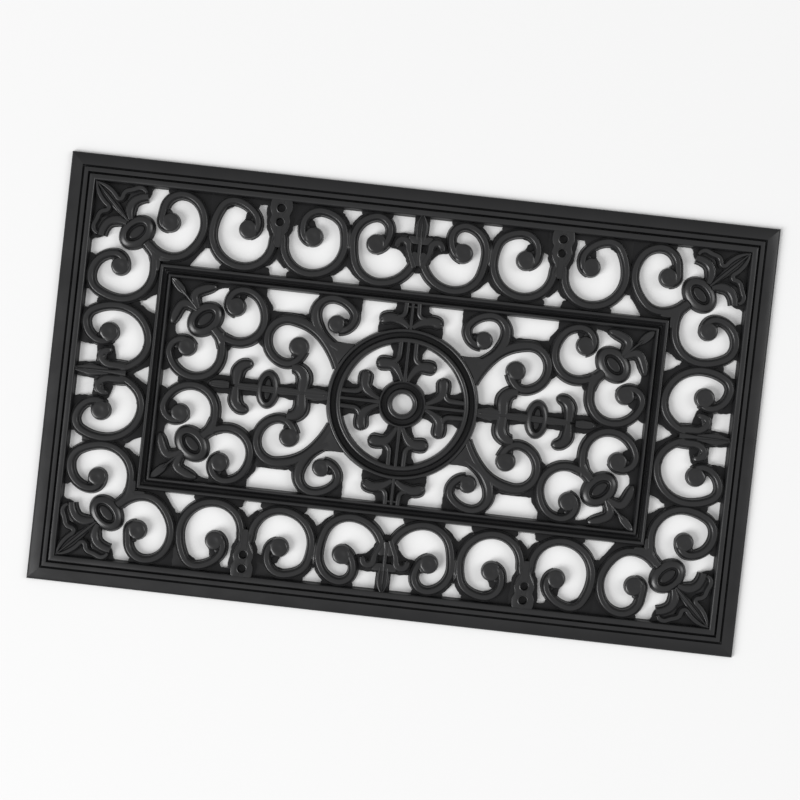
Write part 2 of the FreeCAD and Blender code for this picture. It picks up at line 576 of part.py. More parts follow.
def cross_motif():
    """Spear, hooked petals, oval boss and arms on the long axis of the panel."""
    arms = rounded_bar(FIELD, CROSS_HOOK) + bar(FIELD, *CROSS_ARM)
    arms += [mirrored(face, ALONG_Y) for face in arms]
    tip = disc(FIELD, CROSS_SPEAR.start, CROSS_SPEAR.half_width)
    shafts = bar(FIELD, *CROSS_SPEAR) + bar(FIELD, *CROSS_BAR) + bar(FIELD, *CROSS_FOOT)
    boss = (FIELD, CROSS_BOSS, CROSS_BOSS_RADII, math.pi / 2)
    whole = stacked([pad(shafts + arms + [tip], BAR_HEIGHT), pad([sheet(FIELD, CROSS_WEB)], WEB_HEIGHT),
                     oval_boss(*boss)])
    dimples = [sunk_hole(FIELD, place, DIMPLE_RADIUS) for place in CROSS_DIMPLES]
    return whole.cut([oval_pocket(*boss)] + dimples)


def turned_ring(profile):
    """Ring turned about the centre of the mat."""
    points = [Vector(out * MEDALLION_SCALE, 0, up) for out, up in profile]
    return Part.Face(Part.makePolygon(points + points[:1])).revolve(ORIGIN, UP, 360)


def medallion_cylinder(drawn_radius):
    return Part.makeCylinder(drawn_radius * MEDALLION_SCALE, MAT_HEIGHT)


def palmette(palmette_parts):
    """Stem with a rib and a petal on each side, along +Y."""
    left = bar(FIELD, *palmette_parts.rib) + rounded_bar(FIELD, palmette_parts.petal)
    plan = bar(FIELD, *palmette_parts.stem) + left + [mirrored(face, ALONG_X) for face in left]
    return stacked([pad(plan, BAR_HEIGHT), pad([sheet(FIELD, palmette_parts.web)], WEB_HEIGHT)])


def in_all_quarters(name, shape):
    """Four nodes from the one in the back left quarter."""
    right = mirrored(shape, ALONG_X)
    return {"back_left_" + name: shape, "back_right_" + name: right,
            "front_left_" + name: mirrored(shape, ALONG_Y),
            "front_right_" + name: mirrored(right, ALONG_Y)}


def border_band():
    """Scrolls, fleurs and clasps between the border and the panel frame."""
    corner = (CORNER_SHORT.cell[0], 0.0, CORNER_LONG.cell[2], CORNER_LONG.cell[3])
    fleur = corner_fleur(BAND, BORDER_FLEUR, corner)
    corner_long = scroll_piece(BAND, CORNER_LONG.cell, CORNER_LONG).cut(fleur)
    hanging_clasp = clasp()
    back_fleur = centre_fleur(BACK_FLEUR_STEM, BACK_FLEUR_BODY, BACK_FLEUR_CURL, BACK_FLEUR_WEB, ALONG_X)
    left_fleur = centre_fleur(LEFT_FLEUR_STEM, LEFT_FLEUR_BODY, LEFT_FLEUR_CURL, LEFT_FLEUR_WEB, ALONG_Y)
    nodes = {"border_fleur_back": back_fleur, "border_fleur_front": mirrored(back_fleur, ALONG_Y),
             "border_fleur_left": left_fleur, "border_fleur_right": mirrored(left_fleur, ALONG_X)}
    scrolls = {"corner_scroll_short": (CORNER_SHORT, [fleur, corner_long]),
               "clasp_scroll_outer": (CLASP_OUTER, hanging_clasp),
               "clasp_scroll_inner": (CLASP_INNER, hanging_clasp),
               "centre_scroll": (CENTRE, back_fleur),
               "side_scroll": (SIDE, left_fleur)}
    quarter = {"corner_fleur": fleur, "corner_scroll_long": corner_long, "clasp": hanging_clasp}
    for name, (scroll, neighbours) in scrolls.items():
        quarter[name] = scroll_piece(BAND, scroll.cell, scroll).cut(neighbours)
    for name, shape in quarter.items():
        nodes.update(in_all_quarters(name, shape))
    return nodes


def panel_field():
    """Openwork inside the panel frame."""
    ring_disc = medallion_cylinder(RING_PROFILE[-1][0])
    ring_hole = medallion_cylinder(RING_PROFILE[0][0])
    hub_disc = medallion_cylinder(HUB_PROFILE[-1][0])
    spray = corner_fleur(FIELD, PANEL_FLEUR, PANEL_CELL, SPRAY_LONG, SPRAY_SHORT)
    branch = scroll_piece(FIELD, PANEL_CELL, BRANCH_OUTER, BRANCH_INNER).cut([ring_disc, spray])
    others = [ring_disc, spray, branch, mirrored(spray, ALONG_Y), mirrored(branch, ALONG_Y)]
    cross = cross_motif().cut(others)
    inner = palmette(INNER_PALMETTE).common(ring_hole).cut(hub_disc)
    outer = palmette(OUTER_PALMETTE).cut(ring_disc)
    nodes = {"medallion_ring": turned_ring(RING_PROFILE), "medallion_hub": turned_ring(HUB_PROFILE),
             "medallion_palmettes": Part.makeCompound([quarter_turned(inner, turn) for turn in range(4)]),
             "palmette_back": outer, "palmette_front": mirrored(outer, ALONG_Y),
             "cross_motif_left": cross, "cross_motif_right": mirrored(cross, ALONG_X)}
    nodes.update(in_all_quarters("panel_spray", spray))
    nodes.update(in_all_quarters("panel_branch", branch))
    return nodes


def build():
    """All nodes of the mat by name."""
    plate = rounded_plate()
    border = frame_nodes("border_rail", MAT_LENGTH, MAT_WIDTH, BORDER_PROFILE)
    nodes = {name: rail.common(plate) for name, rail in border.items()}
    nodes.update(frame_nodes("panel_rail", PANEL_LENGTH, PANEL_WIDTH, PANEL_PROFILE))
    nodes.update(border_band())
    nodes.update(panel_field())
    return nodes


def main():
    os.makedirs("parts", exist_ok=True)
    for name, shape in build().items():
        print(name, len(shape.Solids), shape.isValid(), round(shape.Volume))
        shape.exportStep("parts/" + name + ".step")


if __name__ == "__main__":
    main()
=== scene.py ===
"""Dresses the rubber scrollwork doormat: rounded bars, curled eyes, thin webs, rubber and stage.

Lengths in the tables are millimetres in the mat's own frame: its centre on the floor at the
origin, its long side along X. The pattern repeats in four quarters, so the tables hold the
back left quarter (x < 0, y > 0) and every other quarter is its mirror image.
"""

import math
from collections import namedtuple

import bmesh
import bpy
import numpy as np
from mathutils import Matrix


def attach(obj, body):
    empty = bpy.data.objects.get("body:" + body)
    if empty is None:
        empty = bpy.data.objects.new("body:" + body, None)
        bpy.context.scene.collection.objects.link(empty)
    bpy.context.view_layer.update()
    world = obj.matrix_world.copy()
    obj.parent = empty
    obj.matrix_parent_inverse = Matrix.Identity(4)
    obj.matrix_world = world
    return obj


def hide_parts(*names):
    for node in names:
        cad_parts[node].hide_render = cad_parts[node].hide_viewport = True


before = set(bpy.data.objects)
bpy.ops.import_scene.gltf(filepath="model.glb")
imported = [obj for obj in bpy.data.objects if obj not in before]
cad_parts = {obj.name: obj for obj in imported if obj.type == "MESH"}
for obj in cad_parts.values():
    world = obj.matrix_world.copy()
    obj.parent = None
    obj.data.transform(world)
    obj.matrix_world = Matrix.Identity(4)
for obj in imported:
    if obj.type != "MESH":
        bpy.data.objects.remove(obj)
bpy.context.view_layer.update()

bl_info = {
    "name": "Rubber Scrollwork Doormat",
    "version": (1, 0, 0),
    "blender": (4, 5, 0),
    "location": "View3D > Sidebar > Doormat",
    "description": "Builds the moulded rubber pieces of an openwork doormat and its stage",
    "category": "Object",
}

MM = 0.001
MAT_LENGTH = 760.0
MAT_WIDTH = 460.0
PANEL_LENGTH = 546.0
PANEL_WIDTH = 242.0

# Fineness of bars, outlines and rails; a turn in radians below which a stretch is straight, and
# an angle in degrees past which an edge stays crisp
BAR_STEP = 1.6
EYE_STEP = 0.5
OUTLINE_STEP = 1.5
RAIL_CUTS = 24
STRAIGHT = 0.002
SHARP_ANGLE = 42.0

# A bar's round end: shares of its half width at which it has points, the share past which it
# draws in no further, and the height left at its tip
ROUND_END = (0.2, 0.4, 0.58, 0.72, 0.83, 0.91, 0.96, 0.99)
TIP = 0.985
END_HEIGHT = 0.45

# Webs: how far they spread, how ragged their edge is, and how much higher one may be than the next
WEB_SPREAD = 1.0
WEB_RAGGEDNESS = 0.16
WEB_LEVELS = 0.3
WEB_BEVEL = 0.7
PLATE_BEVEL = 1.0

# Eyes: where the groove starts and how far it draws in, as shares of the radius, then its depths
GROOVE_SHARES = (0.95, 0.66)
GROOVE_DEPTHS = (1.2, 0.5, 0.0)
GROOVE_WIDTH = 0.8
PIT_DEPTH = 0.7
PIT_WIDTH = 2.4
PIT_RADIUS = 4.6

# Rubber: sizes of its grain and of the marks on it
GRAIN = 2 / 3
MARKS = 250 / 7

RUBBER = "Moulded black rubber"
SWEEP = "Rubber bar along a line"

# Mirror signs of x and y for the pieces that the tables stand for
QUARTERS = {"back_left": (1, 1), "back_right": (-1, 1), "front_left": (1, -1), "front_right": (-1, -1)}
BACK_AND_FRONT = {"back": (1, 1), "front": (1, -1)}
LEFT_AND_RIGHT = {"left": (1, 1), "right": (-1, 1)}
QUARTER_DROP = 0.005

EVEN = ((0, 1), (1, 1))
SINK = ((0, 1), (0.93, 1), (1, 0.8))


def both_flanks(left):
    """Whole cross section from its left half, which ends at or before the middle."""
    return left + [(-across, up) for across, up in reversed(left) if across < 0]


# Cross sections over the unit half width and unit height, from the left foot to the middle
SECTIONS = {
    "scroll": both_flanks([(-1.22, 0), (-1.22, 0.08), (-1.12, 0.2), (-1.03, 0.34), (-0.98, 0.52),
                           (-0.94, 0.66), (-0.89, 0.74), (-0.84, 0.74), (-0.79, 0.7), (-0.75, 0.74),
                           (-0.69, 0.86), (-0.63, 0.9), (-0.57, 0.875), (-0.52, 0.9), (-0.44, 0.98),
                           (-0.34, 1), (0, 0.99)]),
    "ridge": both_flanks([(-1.3, 0), (-1.3, 0.1), (-1.15, 0.34), (-1, 0.58), (-0.78, 0.82), (-0.46, 0.96),
                          (-0.16, 1)]),
    "strip": both_flanks([(-1, 0), (-1, 0.96), (-0.9, 1)]),
    "leaf": both_flanks([(-1.12, 0), (-1.12, 0.12), (-1.04, 0.4), (-0.96, 0.66), (-0.84, 0.86),
                         (-0.68, 0.97), (-0.5, 1), (-0.3, 0.95), (-0.14, 0.97), (0, 1)])}

# A bar runs along arcs that are tangent to each other: it starts at a point, aimed in degrees,
# and passes through the points of its line; widths and heights are pairs of a share of its
# length and a factor there
Bar = namedtuple("Bar", "start aim line half_width height section widths heights rounded",
                 defaults=(5, 8.2, "scroll", EVEN, EVEN, False))

# A scroll is a bar that sinks into its round eye; webs are the thin sheets beside it
Scroll = namedtuple("Scroll", "bar eye eye_radius webs")


def scroll(start, aim, line, eye, eye_radius, webs, widths=EVEN):
    """Scroll whose bar has the usual section, width and height."""
    return Scroll(Bar(start, aim, line, widths=widths, heights=SINK), eye, eye_radius, webs)


# The scrolls of the border band, the panel's corners and the medallion
CORNER_LONG = scroll(
    (-288, 140), -49,
    [(-264.5, 128.3), (-244.5, 135.6), (-232.6, 153.5), (-230.3, 167), (-236.3, 185.5), (-253.5, 196.3),
     (-275.5, 180), (-277, 168), (-269, 159.8)],
    (-267.6, 165.6), 10.4,
    [[(-273, 201), (-272, 196), (-252, 194), (-236, 184), (-232, 165), (-232, 150), (-227.5, 142.5),
      (-226, 142), (-226, 201)],
     [(-272, 121), (-272, 126), (-257, 130), (-240.5, 139), (-232, 150), (-228.5, 142.5), (-235.6, 134),
      (-244.5, 121)]])
CLASP_OUTER = scroll(
    (-151.5, 172), -118.7,
    [(-155.8, 156), (-184, 126.2), (-222.2, 163), (-214.4, 188.8), (-198.5, 196.2), (-177, 183),
     (-174.4, 170), (-182, 161.8)],
    (-183.5, 167.3), 10.4,
    [[(-226, 201), (-226, 142), (-224.5, 142.5), (-220.5, 150), (-220.5, 167), (-211, 186), (-198.5, 193),
      (-184, 190), (-176.5, 190.5), (-176, 194), (-174, 196), (-170, 196), (-164, 195.5), (-164, 201)],
     [(-210.5, 121), (-209, 126), (-184, 129), (-158.6, 128.4), (-156.8, 121)],
     [(-151, 140.6), (-152.2, 138.9), (-157.9, 131.6), (-165, 134), (-158.5, 150), (-151, 154)],
     [(-188, 184), (-186.4, 179.8), (-188, 176.6), (-190, 174), (-182, 170), (-176.5, 178), (-180, 186.5)]])
CLASP_INNER = scroll(
    (-150.6, 171), -50.7,
    [(-145.4, 157), (-115, 126.8), (-79.2, 163), (-81.5, 178), (-91.5, 190.8), (-107, 195.4), (-126, 180),
     (-125.5, 170), (-117, 161.8)],
    (-114.4, 167), 10.5,
    [[(-139, 201), (-137.5, 176), (-134.5, 178.5), (-132.8, 179.6), (-131.2, 178.5), (-128, 175),
      (-122, 186), (-104, 192), (-91, 191), (-86.6, 195.5), (-86, 201)],
     [(-125, 171), (-121.5, 184.5), (-115.2, 184.8), (-114, 179), (-110, 174.5), (-114.5, 170)],
     [(-76, 185), (-77.5, 184), (-81.5, 176), (-81.5, 158), (-78, 148.5), (-76, 148)],
     [(-138.4, 121), (-137.2, 127), (-115, 129), (-90, 126.5), (-88.4, 121)],
     [(-151, 140.6), (-149.9, 139), (-141.3, 130.5), (-137, 134), (-143.5, 150), (-151, 154)],
     [(-86.5, 197), (-77, 185.5), (-82, 178), (-92, 190)],
     [(-76, 141), (-77, 141), (-82.1, 135), (-89, 128.6), (-95, 130), (-84, 145), (-80, 151), (-76, 152)]])
CENTRE = scroll(
    (-4.5, 152), -107,
    [(-40, 125.6), (-68.6, 147), (-71.8, 168), (-65.2, 187), (-50, 196), (-32.7, 181), (-37, 167.5),
     (-46, 161.2)],
    (-46.6, 166.8), 10.4,
    [[(-76, 148), (-74.5, 149), (-70.5, 158), (-69.5, 176), (-74.5, 184), (-76, 185)],
     [(-65.5, 201), (-63.5, 196), (-50, 194), (-36, 194.5), (-32.5, 197), (-32, 201)],
     [(-60.4, 121), (-58.6, 127), (-40, 129), (-17, 127), (-14.6, 121)],
     [(0, 140.5), (-1.5, 141), (-8, 150), (0, 155)],
     [(-63.8, 197), (-73.8, 185.5), (-69, 178), (-59, 190)],
     [(-76, 141), (-75.4, 141), (-70.6, 135), (-62.5, 128.2), (-57, 130), (-68, 145), (-72, 151),
      (-76, 152)]])
# The last scroll flows into its eye without a pit
CENTRE_FILL = [(-52, 175), (-46, 176.6), (-39.5, 176.6), (-37, 172), (-40, 166), (-50, 168)]
# Where the last two scrolls of the long side run side by side they merge
MERGE = Bar((-75.6, 184), -90, [(-75.6, 150)], 4, 7.8, "leaf",
            widths=((0, 0.1), (0.3, 1), (0.7, 1), (1, 0.1)), heights=((0, 0.4), (0.3, 1), (0.7, 1), (1, 0.4)))
CORNER_SHORT = scroll(
    (-282, 134), -75,
    [(-279, 112), (-317, 78.4), (-337, 85.2), (-346.3, 101), (-341, 117), (-323, 126.3), (-311.2, 117),
     (-311, 111)],
    (-315.5, 113.6), 10.2,
    [[(-351, 86), (-349, 85.5), (-344, 92), (-343, 110), (-345.5, 123.5), (-347.5, 124), (-351, 124)],
     [(-337, 75), (-335.5, 77), (-330, 83), (-316, 81), (-300, 83), (-290, 76), (-290, 75)],
     [(-273, 88), (-275.2, 87.9), (-281.3, 84.8), (-288, 78.9), (-296, 84), (-284, 96), (-281, 121),
      (-273, 121)]])
SIDE = scroll(
    (-303, 4.6), 14,
    [(-283.6, 16.4), (-276.6, 38), (-286, 59), (-313, 71.4), (-339, 65), (-346, 50), (-337.5, 35.8),
     (-327, 31.6), (-317.5, 36)],
    (-320, 42), 10.6,
    [[(-351, 30), (-343, 28.8), (-336, 27.4), (-335, 32), (-344, 50), (-341, 60), (-347, 65.8), (-351, 66)],
     [(-337, 75), (-337, 73.5), (-331, 67), (-313, 69), (-299, 67), (-289.5, 74), (-290, 75)],
     [(-273, 65.8), (-275, 65.6), (-284.4, 70.4), (-288.6, 74.4), (-296, 69), (-283, 57), (-279, 43),
      (-284, 20), (-297, 7), (-297, 0), (-290.8, 0), (-289, 2.2), (-281.6, 7.2), (-275, 10.8),
      (-273, 10.8)]])
SPRAY_LONG = scroll(
    (-208, 58), -50,
    [(-184, 45.8), (-155.3, 76), (-162, 93), (-180, 102.5), (-196, 88), (-187.5, 77)],
    (-188, 84), 10.4,
    [[(-157.5, 107.5), (-157, 98), (-166, 94), (-180, 101), (-191, 95), (-196.5, 98), (-197.5, 107.5)],
     [(-193, 92), (-186, 100), (-178, 98), (-182, 88)],
     [(-161.8, 108), (-160.8, 103.2), (-148.4, 85.8), (-150, 80), (-156, 80), (-166, 96), (-166, 108)]])
SPRAY_SHORT = scroll(
    (-200, 54), -75,
    [(-197.4, 30), (-228, 4.2), (-253.5, 26), (-242, 43.3), (-229.5, 36.5)],
    (-235.5, 36), 10.3,
    [[(-259.5, 9), (-257, 8.5), (-249, 15), (-251.5, 26), (-249, 37), (-242, 41), (-251, 50), (-252, 62.5),
      (-259.5, 62.5)],
     [(-250, 19), (-253, 30), (-247, 41), (-238, 38), (-240, 26)],
     [(-242, 0), (-240.5, 2), (-236, 7), (-228, 6), (-214, 9), (-206, 0)],
     [(-188, 45), (-199, 46), (-197.5, 32), (-191, 37.5)]])
BRANCH_OUTER = scroll(
    (-73, 31), 112,
    [(-91, 59.8), (-127, 77.4), (-151.3, 56), (-131, 29.6), (-116.5, 34.5), (-110.6, 45)],
    (-116.5, 48.5), 10.5,
    [[(-150, 82), (-154, 62), (-150, 60), (-142, 71), (-137, 77), (-141, 80)],
     [(-160, 49), (-156, 62), (-151, 58), (-149.5, 44), (-154.5, 44)],
     [(-150, 80), (-148.2, 84), (-140, 83.2), (-114, 83.2), (-110, 78), (-127, 74), (-142, 72)]],
    widths=((0, 1), (0.2, 1.1), (0.38, 1.22), (0.52, 1.05), (0.6, 1), (1, 1)))
BRANCH_INNER = scroll(
    (-74, 51), 152,
    [(-90, 61.2), (-102.9, 85.5), (-83.5, 104.6), (-62.8, 94), (-60.8, 82), (-67.5, 73.5), (-76, 71)],
    (-78.8, 77.2), 9.5,
    [[(-100, 107.5), (-100.5, 97), (-95, 99.5), (-83, 104), (-66.5, 98), (-60, 86), (-55, 90),
      (-54.5, 107.5)],
     [(-97, 63), (-84, 47), (-77, 34), (-55, 50), (-57, 58.5), (-63, 57), (-75, 58), (-88, 62)],
     [(-118, 80), (-104, 72), (-101, 89), (-105.5, 86.5)],
     [(-75, 83), (-68, 83.6), (-64.5, 80), (-75, 76)]],
    widths=((0, 1), (0.12, 1.1), (0.24, 1.35), (0.36, 1.2), (0.5, 1), (1, 1)))

# Raised foot from which the two branches grow
BRANCH_ROOT = [(-96, 67), (-90, 63), (-79.5, 57.5), (-56.5, 58.6), (-61, 51), (-69, 40.5), (-75, 29),
               (-80.5, 42), (-88, 56)]

# Frames: distance in from the outer edge, then height
BORDER_PROFILE = [(0, 0), (0, 2.6), (0.5, 3.4), (1.4, 4.2), (2.6, 4.7), (12.4, 6.2), (13, 6.2), (13.3, 5.6),
                  (13.6, 4.2), (14.3, 3.9), (14.9, 4.4), (15.2, 6.2), (15.6, 7), (19.2, 7.6), (19.8, 7.4),
                  (20.1, 5.6), (20.6, 4.4), (21.2, 4.6), (21.8, 7.2), (22.6, 8.6), (24, 9), (26.4, 9),
                  (27.4, 8.7), (28.2, 7.8), (28.8, 6.2), (29.3, 4), (30, 2), (30.3, 0.6), (30.3, 0)]
PANEL_PROFILE = [(-1.2, 0), (-1.2, 0.6), (-0.7, 2.4), (-0.1, 5), (0.4, 7), (1, 8), (1.8, 8.3), (2.8, 8.2),
                 (3.6, 7.6), (4.2, 6.2), (4.8, 4.6), (5.8, 4), (6.6, 4.2), (7.2, 5.4), (7.8, 5.8),
                 (8.4, 5.3), (9, 4.2), (9.6, 4.6), (10.2, 6.8), (10.8, 8.2), (11.6, 8.5), (12.6, 8.4),
                 (13.2, 7.6), (13.7, 6.2), (14.1, 4.2), (14.5, 2), (14.8, 0.6), (14.8, 0)]
# Ring and hub: distance out from the middle of the mat, then height
RING_PROFILE = [(64.2, 0), (64.2, 1), (64.6, 3.4), (65.2, 5.6), (66, 7.4), (66.9, 8.6), (68, 9), (69.4, 9),
                (70.4, 8.4), (71.2, 6.8), (71.8, 4.6), (72.4, 3.6), (74, 3.4), (75.8, 3.6), (76.4, 4.8),
                (76.9, 7), (77.5, 8.5), (78.4, 9), (79.4, 8.9), (80.3, 8), (81, 6.2), (81.5, 3.6),
                (81.9, 1), (81.9, 0)]
HUB_PROFILE = [(10.6, 0), (10.6, 1), (11.1, 4.4), (11.7, 6.8), (12.6, 8.2), (13.8, 8.7), (15.2, 8.5),
               (16.2, 7.4), (16.8, 5.2), (17.4, 3.8), (19.4, 3.5), (21.4, 3.8), (22.2, 5.6), (22.8, 7.6),
               (23.6, 8.5), (24.6, 8.3), (25.4, 7), (26, 4.4), (26.6, 1.4), (26.6, 0)]

# Bosses: share left of the short radius, then height; the long radius draws in by as much.
# An eye has a shallow dimple, and a pit is the low fill where a bar meets its eye
COLLAR_PROFILE = [(1.08, 0), (1.07, 0.8), (1.02, 3), (0.98, 4.9), (0.93, 6.2), (0.86, 7.2), (0.76, 8.1),
                  (0.66, 8.7), (0.58, 8.95), (0.53, 8.8), (0.49, 8), (0.46, 6.6), (0.43, 5.2), (0.4, 4.6),
                  (0.36, 4.5), (0.31, 5), (0.26, 5.7), (0.18, 5.9), (0, 5.95)]
RIM_PROFILE = [(1, 0), (1, 8), (0.94, 8.5), (0.86, 8.75), (0.78, 8.6), (0.72, 7.8), (0.69, 6), (0.66, 3.9),
               (0.6, 3.5), (0, 3.4)]
PIT_PROFILE = [(1, 0), (1, 1), (0.9, 3.2), (0.75, 4.8), (0.5, 5.4), (0, 5)]
EYE_PROFILE = [(1.06, 0), (1.06, 0.6), (1.03, 2), (1, 4.2), (0.97, 6), (0.93, 7.1), (0.87, 7.8),
               (0.78, 8.2), (0.67, 8.45), (0.54, 8.6), (0.42, 8.55), (0.31, 8.42), (0.22, 8.28), (0.12, 8.15),
               (0, 8.1)]
# A small bead: its heights are shares of its own height
DOT_PROFILE = [(1, 0), (1, 0.7), (0.92, 0.84), (0.75, 0.95), (0.4, 1), (0, 1)]

# A motif with two alike halves: bars on its axis, then the bars, webs and plates of one half;
# a plate is an outline and a height, a boss its centre, profile, radii and angle,
# and a dot the centre, radius and height of a small raised bead
Motif = namedtuple("Motif", "middle sides webs plates bosses dots", defaults=((), (), ()))

BORDER_FLEUR = Motif(
    middle=[Bar((-310, 160), 135, [(-347.5, 197.5)], 6.2, 6.2, "leaf",
                widths=((0, 0.45), (0.35, 0.62), (0.62, 1), (0.8, 0.85), (1, 0.2))),
            Bar((-311.5, 161.5), 135, [(-349.5, 199.5)], 2.7, 8.3,
                widths=((0, 0.8), (0.3, 1.1), (0.7, 0.9), (1, 0.4))),
            Bar((-291, 141), -45, [(-275.5, 125.5)], 5.6, widths=((0, 1), (0.5, 1.05), (1, 1.8)))],
    sides=[Bar((-349.6, 199.8), -8, [(-340, 196.9), (-326.6, 185.6), (-320.4, 187.4), (-314.6, 194.4),
                                       (-306, 197.6), (-295.6, 193.4)], 4.1,
               widths=((0, 0.35), (0.18, 0.95), (0.6, 1), (0.9, 1), (1, 0.7))),
           Bar((-309.4, 163.6), 116, [(-311.8, 171.6), (-310.8, 179.5), (-305, 186.2), (-293.6, 189.8)],
               6.2, 8, widths=((0, 0.7), (0.3, 1), (1, 0.85)))],
    plates=[([(-316, 184), (-311, 184), (-300, 191), (-294, 191), (-294, 196), (-304, 197),
              (-312, 194)], 5),
            ([(-288, 137.5), (-276, 131.5), (-263, 127.5), (-262, 123.5), (-273, 123), (-284, 129)], 7.9)],
    webs=[[(-351, 201), (-322, 172), (-312, 170), (-309, 173), (-308.5, 179), (-303, 186), (-293.5, 188.5),
           (-292, 192), (-291.5, 198), (-287, 201)]],
    bosses=[((-302.1, 151.1), COLLAR_PROFILE, (20.7, 15.8), 45)],
    dots=[((-350, 200), 1.3, 8.6)])
PANEL_FLEUR = Motif(
    middle=[Bar((-243, 91.5), 135, [(-258.2, 106.7)], 5, 7.8, "leaf",
                widths=((0, 0.4), (0.3, 0.95), (0.6, 1), (0.85, 0.8), (1, 0.3))),
            Bar((-229, 77.5), 135, [(-247, 95.5)], 1.7, 8.6, "ridge"),
            Bar((-209, 57.5), -45, [(-196, 44.5)], 5.6, widths=((0, 1), (0.5, 1.05), (1, 1.7)))],
    sides=[Bar((-228, 77), 118, [(-232.5, 86.5), (-229.4, 96), (-215.5, 101.4)], 6.2,
               widths=((0, 0.8), (0.35, 1), (0.75, 0.95), (1, 0.6)), rounded=True)],
    webs=[[(-259.5, 107.5), (-238, 85.5), (-229, 82), (-226.5, 84.5), (-226.5, 91), (-220, 96.5),
           (-209.5, 99.5), (-208.5, 103), (-209.5, 107.5)],
          [(-212, 108), (-212, 101), (-208.5, 100.4), (-205.5, 103), (-198, 103.4), (-196, 108)]],
    bosses=[((-219.2, 66.9), COLLAR_PROFILE, (21, 16.2), 45)])
CLASP = Motif(
    middle=[Bar((-151, 203), -90, [(-151, 198)], 2.4, 8.45, "strip"),
            Bar((-151, 189), -90, [(-151, 183)], 2.4, 8.45, "strip"),
            Bar((-151, 174), -90, [(-151, 151.5)], 3, 8.45, "strip")],
    sides=[Bar((-161.8, 178), -70, [(-157.2, 168), (-157, 157)], 2, 8.7, "ridge",
               widths=((0, 0.4), (0.3, 1), (1, 0.4)))],
    plates=[([(-150.4, 203), (-150.4, 198), (-152.4, 197.9), (-154.6, 196.4), (-155.5, 193.5),
              (-154.6, 190.6), (-152.4, 189.1), (-150.4, 189), (-150.4, 183), (-152.4, 182.6),
              (-154.4, 181.2), (-155.2, 178.5), (-154.4, 175.8), (-152.4, 174.4), (-150.4, 174),
              (-150.4, 150.5), (-152, 150.5), (-155.5, 154), (-157.6, 158.5), (-157, 163), (-157.4, 168),
              (-160.2, 173), (-162, 177), (-162.2, 181), (-160.4, 184.4), (-160.6, 187), (-163, 190.5),
              (-163, 196), (-162, 203)], 8.2)],
    webs=[[(-165.5, 201), (-165.5, 190), (-164, 172), (-159.5, 162), (-159.5, 150), (-150.4, 148),
           (-150.4, 201)]],
    bosses=[((-151, 193.5), RIM_PROFILE, (6, 6), 0), ((-151, 178.5), RIM_PROFILE, (5.8, 5.8), 0)])
BACK_FLEUR = Motif(
    middle=[Bar((0, 203), -90, [(0, 172)], 7, 6.8, "leaf",
                widths=((0, 0.35), (0.42, 1), (0.85, 0.72), (1, 0.8))),
            Bar((0, 201.5), -90, [(0, 148)], 2.6, 8.5, "ridge",
                widths=((0, 0.4), (0.4, 0.6), (0.55, 1.1), (0.85, 1.2), (1, 2.2)))],
    sides=[Bar((-1, 202), -125, [(-4.9, 190), (-4, 176)], 1.8, 8.2, "ridge",
               widths=((0, 0.6), (0.4, 1.1), (1, 0.9))),
           Bar((-4, 146), 112, [(-10.6, 162), (-12, 168.5), (-17, 174.6), (-22.6, 172.6),
                                      (-24.2, 167)], 5.2, 8.4,
               widths=((0, 0.9), (0.35, 0.8), (0.6, 1.1), (1, 0.95)))],
    plates=[([(-14, 179), (2, 180), (2, 171), (-9, 171)], 7.6),
            ([(-9, 148.5), (-1, 147), (-1, 162), (-4, 163.5), (-8, 162.5)], 7.7)],
    webs=[[(-28.5, 180.4), (-25, 180.4), (-17, 181.4), (-8, 180.8), (0, 181), (0, 150), (-11.5, 150),
           (-13, 156), (-18, 161.5), (-24, 165), (-29, 166.3), (-31.5, 165.8)],
          [(-7.2, 201), (-7, 190), (-7.2, 180), (0, 180), (0, 201)]],
    dots=[((-23.4, 167.4), 1.4, 9), ((23.4, 167.4), 1.4, 9)])
LEFT_FLEUR = Motif(
    middle=[Bar((-352, 0), 0, [(-316, 0)], 7.2, 7.2, "leaf",
                widths=((0, 0.4), (0.45, 1), (0.85, 0.72), (1, 0.6))),
            Bar((-350, 0), 0, [(-297, 0)], 2.5, 8.5, "ridge",
                widths=((0, 0.4), (0.5, 0.7), (0.7, 1.1), (1, 1.9)))],
    sides=[Bar((-298, 6.4), 172, [(-313, 7.2), (-323.4, 11.4), (-324.4, 19), (-319, 22.4)],
               5.4, 8.4, widths=((0, 1.1), (1, 0.9)), rounded=True)],
    plates=[([(-329, 9), (-329, 22), (-322, 25), (-315, 23), (-319, 18), (-319.6, 12)],
             7.6)],
    webs=[[(-330, 28.5), (-330, 9), (-331, 0), (-298, 0), (-300, 11.5), (-306, 10.5), (-311, 14),
           (-312, 21), (-314.5, 27), (-315.5, 29.5)],
          [(-351, 6.4), (-349, 6.4), (-332, 8.2), (-329, 8.2), (-329, 0), (-351, 0)]],
    dots=[((-350, 0), 1.4, 8.8), ((-321.5, 16), 1.5, 9), ((-321.5, -16), 1.5, 9)])
INNER_PALMETTE = Motif(
    middle=[Bar((0, 24), 90, [(0, 67)], 3, 8.6, widths=((0, 1.5), (0.25, 1.1), (1, 1)))],
    sides=[Bar((-3.2, 25), 108, [(-10.4, 38), (-18.5, 42), (-26.6, 41.6)], 6.4,
               widths=((0, 0.55), (0.4, 0.95), (0.75, 1.12), (1, 1.05)), rounded=True),
           Bar((-8.2, 67), -90, [(-8.4, 52), (-16, 44)], 3.3, 8.1, "ridge")],
    webs=[[(0, 67), (0, 24), (-13, 24), (-12.5, 27), (-14, 32), (-17, 36), (-15.4, 48), (-15, 52),
           (-15.4, 56), (-17, 59), (-20, 63)]],
    dots=[((-31.2, 39.4), 1.5, 8.6), ((31.2, 39.4), 1.5, 8.6)])
